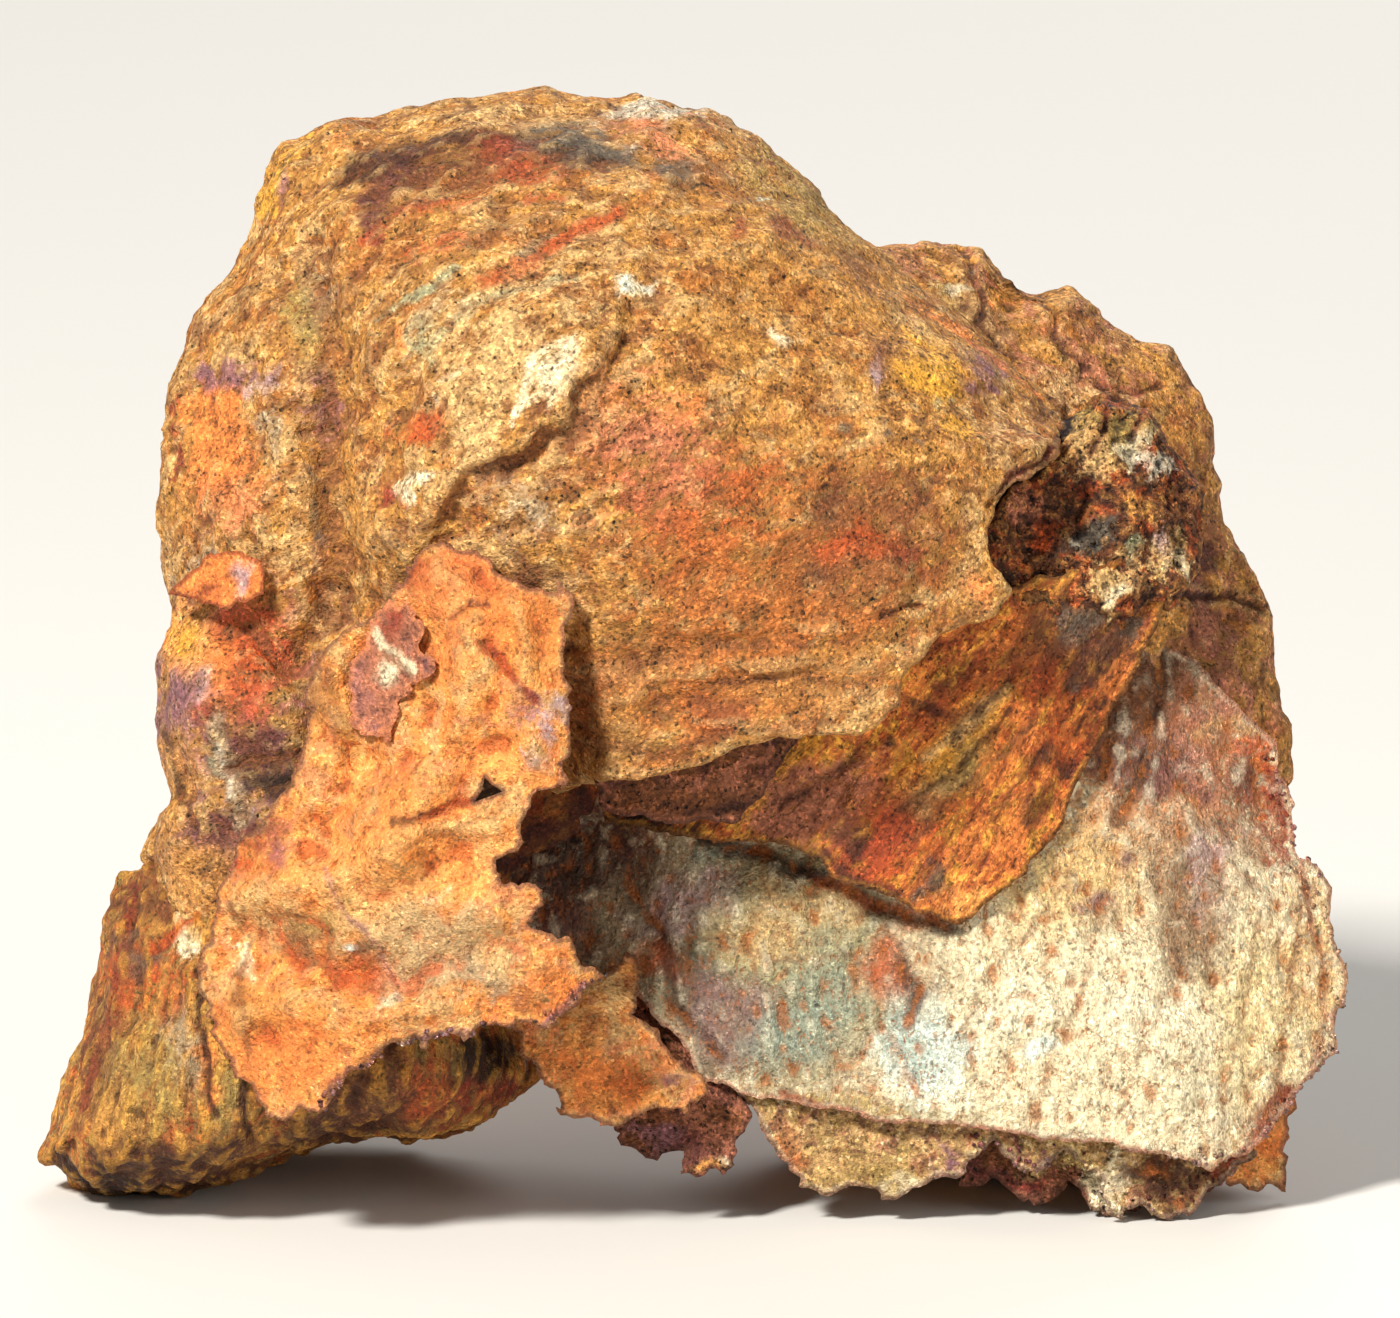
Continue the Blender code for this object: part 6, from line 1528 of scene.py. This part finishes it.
def finished(piece, material):
    """Gives a piece its finish and its place in the frame."""
    mesh = piece.data
    mesh.materials.clear()
    mesh.materials.append(material)
    mesh.polygons.foreach_set("use_smooth", np.ones(len(mesh.polygons), bool))
    mesh.update()
    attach(piece, "root")
    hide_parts(MASS_NODE)


def crystal_tree(material):
    """Crystals scattered over the crumbly parts of a skin."""
    tree = bpy.data.node_groups.new("crystals", "GeometryNodeTree")
    tree.interface.new_socket("Geometry", in_out="INPUT", socket_type="NodeSocketGeometry")
    for name, kind in (("Density", "Float"), ("Size", "Float"), ("Seed", "Int")):
        tree.interface.new_socket(name, in_out="INPUT", socket_type=f"NodeSocket{kind}")
    tree.interface.new_socket("Geometry", in_out="OUTPUT", socket_type="NodeSocketGeometry")

    def add(kind, settings=None, inputs=None):
        """A new node's outputs, after its settings and its sockets are set."""
        node = tree.nodes.new(kind)
        for name, value in (settings or {}).items():
            setattr(node, name, value)
        for name, value in (inputs or {}).items():
            if isinstance(value, bpy.types.NodeSocket):
                tree.links.new(value, node.inputs[name])
            else:
                node.inputs[name].default_value = value
        return node.outputs

    entry = add("NodeGroupInput")
    mask = add("GeometryNodeInputNamedAttribute", {"data_type": "FLOAT"}, {"Name": "crumbly"})
    density = add("ShaderNodeMath", {"operation": "MULTIPLY"}, {0: mask["Attribute"], 1: entry["Density"]})
    spread = add("GeometryNodeDistributePointsOnFaces", {"distribute_method": "RANDOM"}, {
        "Mesh": entry["Geometry"], "Density": density[0], "Seed": entry["Seed"],
    })
    stone = add("GeometryNodeMeshIcoSphere", None, {"Subdivisions": 1, "Radius": 0.5})
    squash = add("FunctionNodeRandomValue", {"data_type": "FLOAT_VECTOR"}, {
        "Min": (0.5, 0.5, 0.5), "Max": (1.5, 1.5, 1.5), "Seed": 3,
    })
    size = add("ShaderNodeVectorMath", {"operation": "SCALE"}, {0: squash["Value"], "Scale": entry["Size"]})
    spin = add("FunctionNodeRandomValue", {"data_type": "FLOAT_VECTOR"}, {"Max": (FULL_TURN,) * 3, "Seed": 5})
    placed = add("GeometryNodeInstanceOnPoints", None, {
        "Points": spread["Points"], "Instance": stone["Mesh"], "Rotation": spin["Value"], "Scale": size[0],
    })
    real = add("GeometryNodeRealizeInstances", None, {"Geometry": placed["Instances"]})
    coated = add("GeometryNodeSetMaterial", None, {"Geometry": real["Geometry"], "Material": material})
    add("NodeGroupOutput", None, {0: coated["Geometry"]})
    return tree


def crystals_on(name, carrier, crumbly, material, seed):
    """A piece of loose crystals on the carrier, where crumbly(places on the face) is above 0."""
    mesh = carrier.data.copy()
    write_value(mesh, "crumbly", crumbly(to_face(places_of(mesh))))
    piece = bpy.data.objects.new(name, mesh)
    bpy.context.scene.collection.objects.link(piece)
    modifier = piece.modifiers.new("crystals", "NODES")
    tree = crystal_tree(material)
    modifier.node_group = tree
    sizes = bpy.context.scene.copper_sizes
    values = {"Density": sizes.crystals, "Size": sizes.crystal, "Seed": seed}
    for item in tree.interface.items_tree:
        if item.name in values:
            modifier[item.identifier] = values[item.name]
    grown = bpy.data.meshes.new_from_object(piece.evaluated_get(bpy.context.evaluated_depsgraph_get()))
    piece.modifiers.remove(modifier)
    piece.data = grown
    bpy.data.meshes.remove(mesh)
    grown.name = name
    return piece


def crusted(name, lumps, voxel, relief, stains, marks, material):
    """A piece of joined lumps with its relief, stains and finish."""
    piece = lump_piece(name, lumps, voxel, relief)
    stained(piece, stains, marks, STAIN_SEEDS[name])
    finished(piece, material)


# Operators, one for each group of pieces.


class COPPER_OT_core(bpy.types.Operator):
    """Builds the core that the leaves grow from, with its heel"""

    bl_idname = "copper.core"
    bl_label = "Core and heel"

    def execute(self, context):
        crusted("core", ("native_copper", "heel"), context.scene.copper_sizes.core_voxel, core_relief,
                HEART_STAINS, (), finish("core_crust", "earth", ("brown", "ochre", "rust"), "umber", "ochre"))
        return {"FINISHED"}


class COPPER_OT_dome(bpy.types.Operator):
    """Builds the large folded dome with the wall on its left"""

    bl_idname = "copper.dome"
    bl_label = "Dome and left wall"

    def execute(self, context):
        crusted("dome", ("dome", "cheek"), context.scene.copper_sizes.dome_voxel, dome_relief,
                DOME_STAINS + WALL_STAINS, DOME_MARKS + WALL_MARKS,
                finish("dome_crust", "ochre", ("earth", "sand", "brown"), "brown", "sand",
                       stretch=(1.9, 1, 1), turn=28, size=2.6))
        return {"FINISHED"}


class COPPER_OT_flank(bpy.types.Operator):
    """Builds the shoulder and flank behind the dome, and the crumbly knot on them"""

    bl_idname = "copper.flank"
    bl_label = "Flank and knot"

    def execute(self, context):
        voxel = context.scene.copper_sizes.lump_voxel
        crusted("flank", ("flank",), voxel, flank_relief, FLANK_STAINS, FLANK_MARKS,
                finish("flank_crust", "ochre", ("earth", "brown", "rose"), "umber", "sand"))
        crusted("knot", ("knot",), voxel * KNOT_VOXEL_SHARE, knot_relief, KNOT_STAINS, KNOT_MARKS,
                finish("knot_crust", "brown", ("umber", "rust", "black"), "black", "ochre",
                       grain=0.6, size=1.8))
        return {"FINISHED"}


class COPPER_OT_block(bpy.types.Operator):
    """Builds the fibrous block that the mass stands on"""

    bl_idname = "copper.block"
    bl_label = "Standing block"

    def execute(self, context):
        crusted("block", ("block",), context.scene.copper_sizes.lump_voxel, block_relief,
                BLOCK_STAINS, BLOCK_MARKS,
                finish("block_crust", "ochre", ("brown", "olive", "rust"), "umber", "yellow",
                       grain=0.4, stretch=(1, 1, 4), size=1.6))
        return {"FINISHED"}


def leaf_finishes():
    """Finishes of the leaves and of the crust on the back."""
    finish("bright_leaf", "glow", ("orange", "sand", "salmon"), "rust", "sand", grain=0.36, metal=0.25,
           rough=0.6, rim_tone="plum")
    # The right sheet's finish is a pale tarnish whose cream and white tones also stand in for a painted sheen.
    finish("golden_leaf", "cream", ("sand", "white", "rose"), "earth", "white", grain=0.36, metal=0.3,
           rough=0.5, stretch=(1, 1, 1.8), size=1.5, vein=0.8, rim_tone="rose")
    finish("rim_leaf", "sand", ("rose", "olive", "plum"), "brown", "cream", grain=0.45, metal=0.25,
           size=1.6, rim_tone="plum")
    finish("tongue_rust", "orange", ("rust", "yellow", "brick"), "umber", "yellow", grain=0.45,
           stretch=(3.6, 1, 1), turn=TONGUE_GRAIN, size=1.7, vein=0.7, rim_tone="umber")
    finish("peeled_film", "rose", ("violet", "salmon"), "plum", "salmon", grain=0.35,
           rim_tone="salmon", rim_share=0.5)
    finish("plum_flap", "brown", ("plum", "rose"), "umber", "rose", grain=0.6, rim_tone="umber")
    finish("side_plate", "orange", ("glow", "salmon"), "brick", "glow", grain=0.4, rim_tone="brick")
    finish("back_crust", "ochre", ("earth", "sand", "brown"), "brown", "sand", grain=0.6, metal=0.2,
           rim_tone="umber")


# Name, outline, heights of the front, thickness, seed, roughness, relief, stains, marks, finish and any holes.
LEAVES = (
    ("right_leaf", RIGHT_LEAF, RIGHT_LEVELS, 2.4, 21, 0.6, sheet_relief, RIGHT_STAINS, RIGHT_MARKS,
     "golden_leaf"),
    ("rim_leaf", RIM_LEAF, RIM_LEVELS, 1.6, 22, 0.4, thin_relief, RIM_STAINS, (), "rim_leaf"),
    ("back_rim", BACK_RIM, BACK_RIM_LEVELS, 1.4, 23, 0.4, thin_relief, RIM_STAINS, (), "plum_flap"),
    ("corner_leaf", CORNER_LEAF, CORNER_LEVELS, 1.8, 24, 0.4, thin_relief, CORNER_STAINS, (), "bright_leaf"),
    ("tongue", TONGUE, TONGUE_LEVELS, 4.5, 25, 0.6, tongue_relief, TONGUE_STAINS, TONGUE_MARKS, "tongue_rust"),
    ("under_lip", UNDER_LIP, UNDER_LIP_LEVELS, 2.0, 35, 0.4, thin_relief, LIP_STAINS, (), "plum_flap"),
    ("front_leaf", FRONT_LEAF, FRONT_LEVELS, 1.3, 26, 0.7, front_relief, FRONT_STAINS, FRONT_MARKS,
     "bright_leaf", FRONT_HOLE),
    ("low_flap", LOW_FLAP, LOW_FLAP_LEVELS, 1.6, 27, 0.4, thin_relief, FLAP_STAINS, (), "bright_leaf"),
    ("brown_flap", BROWN_FLAP, BROWN_FLAP_LEVELS, 1.4, 28, 0.4, thin_relief, BROWN_FLAP_STAINS, (),
     "plum_flap"),
    ("peel", PEEL, PEEL_LEVELS, 1.2, 29, 0.2, thin_relief, PEEL_STAINS, PEEL_MARKS, "peeled_film"),
    ("side_plate", SIDE_PLATE, SIDE_PLATE_LEVELS, 6.0, 30, 0.2, thin_relief, PLATE_STAINS, (), "side_plate"),
)


class COPPER_OT_leaves(bpy.types.Operator):
    """Builds the torn leaves of the front and the right"""

    bl_idname = "copper.leaves"
    bl_label = "Torn leaves"

    def execute(self, context):
        leaf_finishes()
        step = millimetres("leaf_step")
        for number, row in enumerate(LEAVES):
            name, outline, levels, thickness, seed, rough, relief, stains, marks, look, *holes = row
            piece = leaf_piece(name, outline, surface(levels), thickness, seed, rough, holes, step, relief)
            stained(piece, stains, marks, STAIN_SEEDS["leaf"] + number)
            finished(piece, bpy.data.materials[look])
        return {"FINISHED"}


class COPPER_OT_back_leaves(bpy.types.Operator):
    """Builds the leaves that lie over the back"""

    bl_idname = "copper.back_leaves"
    bl_label = "Back leaves"

    def execute(self, context):
        for number, (outline, stand) in enumerate(BACK_LEAVES):
            piece = back_leaf(number, outline, surface(stand))
            stained(piece, (), (), STAIN_SEEDS["back_leaf"] + number)
            finished(piece, bpy.data.materials[BACK_FINISHES[number]])
        return {"FINISHED"}


def back_leaf(number, outline, lift):
    """A thick leaf that follows the back of the mass and stands off it by lift."""
    return leaf_piece(
        f"back_leaf_{number + 1}", outline, lambda at: back_of_mass(at) + lift(at) + BACK_LEAF_LIFT,
        BACK_LEAF_THICKNESS, BACK_LEAF_SEED + number, 0.5, (), millimetres("back_step"), back_relief,
    )


class COPPER_OT_crystals(bpy.types.Operator):
    """Scatters loose crystals over the knot and the torn rims on the right"""

    bl_idname = "copper.crystals"
    bl_label = "Loose crystals"

    def execute(self, context):
        dark = finish("dark_crystals", "brown", ("umber", "earth"), "black", "slate",
                      grain=0.7, metal=0.4, rough=0.4)
        plum = finish("plum_crystals", "plum", ("brick", "violet"), "umber", "lilac",
                      grain=0.7, metal=0.4, rough=0.4)
        for number, (carrier, path, wide, material) in enumerate((
            ("knot", KNOT_CRYSTALS, 4.0, dark), ("right_leaf", RIM_CRYSTALS, 1.2, plum),
            ("rim_leaf", LOW_CRYSTALS, 1.6, plum), ("front_leaf", FRINGE_CRYSTALS, 0.9, plum),
        )):
            piece = crystals_on(
                f"{carrier}_crystals", bpy.data.objects[carrier],
                lambda face: smooth_step(wide, wide * 0.4, from_path(face[:, :2], path)[0]), material,
                CRYSTAL_SEED + number,
            )
            finished(piece, material)
        return {"FINISHED"}


class COPPER_OT_stage(bpy.types.Operator):
    """Sets the pale floor, the soft studio light and the camera"""

    bl_idname = "copper.stage"
    bl_label = "Floor, light and camera"

    def execute(self, context):
        scene = context.scene
        bpy.ops.mesh.primitive_grid_add(x_subdivisions=FLOOR_PARTS, y_subdivisions=FLOOR_PARTS, size=FLOOR_SIDE)
        floor = context.object
        floor.name = "floor"
        material = bpy.data.materials.new("pale_floor")
        material.use_nodes = True
        shader = material.node_tree.nodes["Principled BSDF"]
        shader.inputs["Base Color"].default_value = colour("floor")
        shader.inputs["Roughness"].default_value = FLOOR_ROUGHNESS
        floor.data.materials.append(material)
        for name, place, side, power, warmth in LAMPS:
            data = bpy.data.lights.new(name, "AREA")
            data.shape = "SQUARE"
            data.size = side
            data.energy = power
            data.color = warmth
            lamp = bpy.data.objects.new(name, data)
            lamp.location = place
            lamp.rotation_euler = (Vector(LAMP_AIM) - Vector(place)).to_track_quat("-Z", "Y").to_euler()
            scene.collection.objects.link(lamp)
        world = bpy.data.worlds.new("studio")
        world.use_nodes = True
        world.node_tree.nodes["Background"].inputs["Color"].default_value = (*SKY, 1)
        world.node_tree.nodes["Background"].inputs["Strength"].default_value = SKY_STRENGTH
        scene.world = world
        scene.view_settings.view_transform = "Standard"
        target = Vector(to_world(np.array([[0, SIGHT_HEIGHT, 0]]))[0])
        data = bpy.data.cameras.new("camera")
        data.sensor_width = SENSOR
        data.lens = SENSOR * SIGHT_DISTANCE / SIGHT_WIDTH
        camera = bpy.data.objects.new("camera", data)
        tilt = math.radians(SIGHT_TILT)
        camera.location = target + Vector((0, -math.cos(tilt), math.sin(tilt))) * SIGHT_DISTANCE
        camera.rotation_euler = (math.radians(90) - tilt, 0, 0)
        scene.collection.objects.link(camera)
        scene.camera = camera
        return {"FINISHED"}


class COPPER_PT_specimen(bpy.types.Panel):
    """The specimen's tones, sizes and pieces"""

    bl_label = "Native copper"
    bl_idname = "COPPER_PT_specimen"
    bl_space_type = "VIEW_3D"
    bl_region_type = "UI"
    bl_category = "Copper"

    def draw(self, context):
        for operator in OPERATORS:
            self.layout.operator(operator.bl_idname)
        for group in (context.scene.copper_sizes, context.scene.copper_tones):
            box = self.layout.box()
            for name in group.__annotations__:
                box.prop(group, name)


OPERATORS = (
    COPPER_OT_core, COPPER_OT_dome, COPPER_OT_flank, COPPER_OT_block, COPPER_OT_leaves, COPPER_OT_back_leaves,
    COPPER_OT_crystals, COPPER_OT_stage,
)
CLASSES = (CopperTones, CopperSizes, *OPERATORS, COPPER_PT_specimen)


def register():
    for item in CLASSES:
        bpy.utils.register_class(item)
    bpy.types.Scene.copper_tones = bpy.props.PointerProperty(type=CopperTones)
    bpy.types.Scene.copper_sizes = bpy.props.PointerProperty(type=CopperSizes)


def unregister():
    del bpy.types.Scene.copper_sizes
    del bpy.types.Scene.copper_tones
    for item in reversed(CLASSES):
        bpy.utils.unregister_class(item)


def main():
    """Builds every piece and the stage."""
    register()
    bpy.ops.copper.core()
    bpy.ops.copper.dome()
    bpy.ops.copper.flank()
    bpy.ops.copper.block()
    bpy.ops.copper.leaves()
    bpy.ops.copper.back_leaves()
    bpy.ops.copper.crystals()
    bpy.ops.copper.stage()


if __name__ == "__main__":
    main()
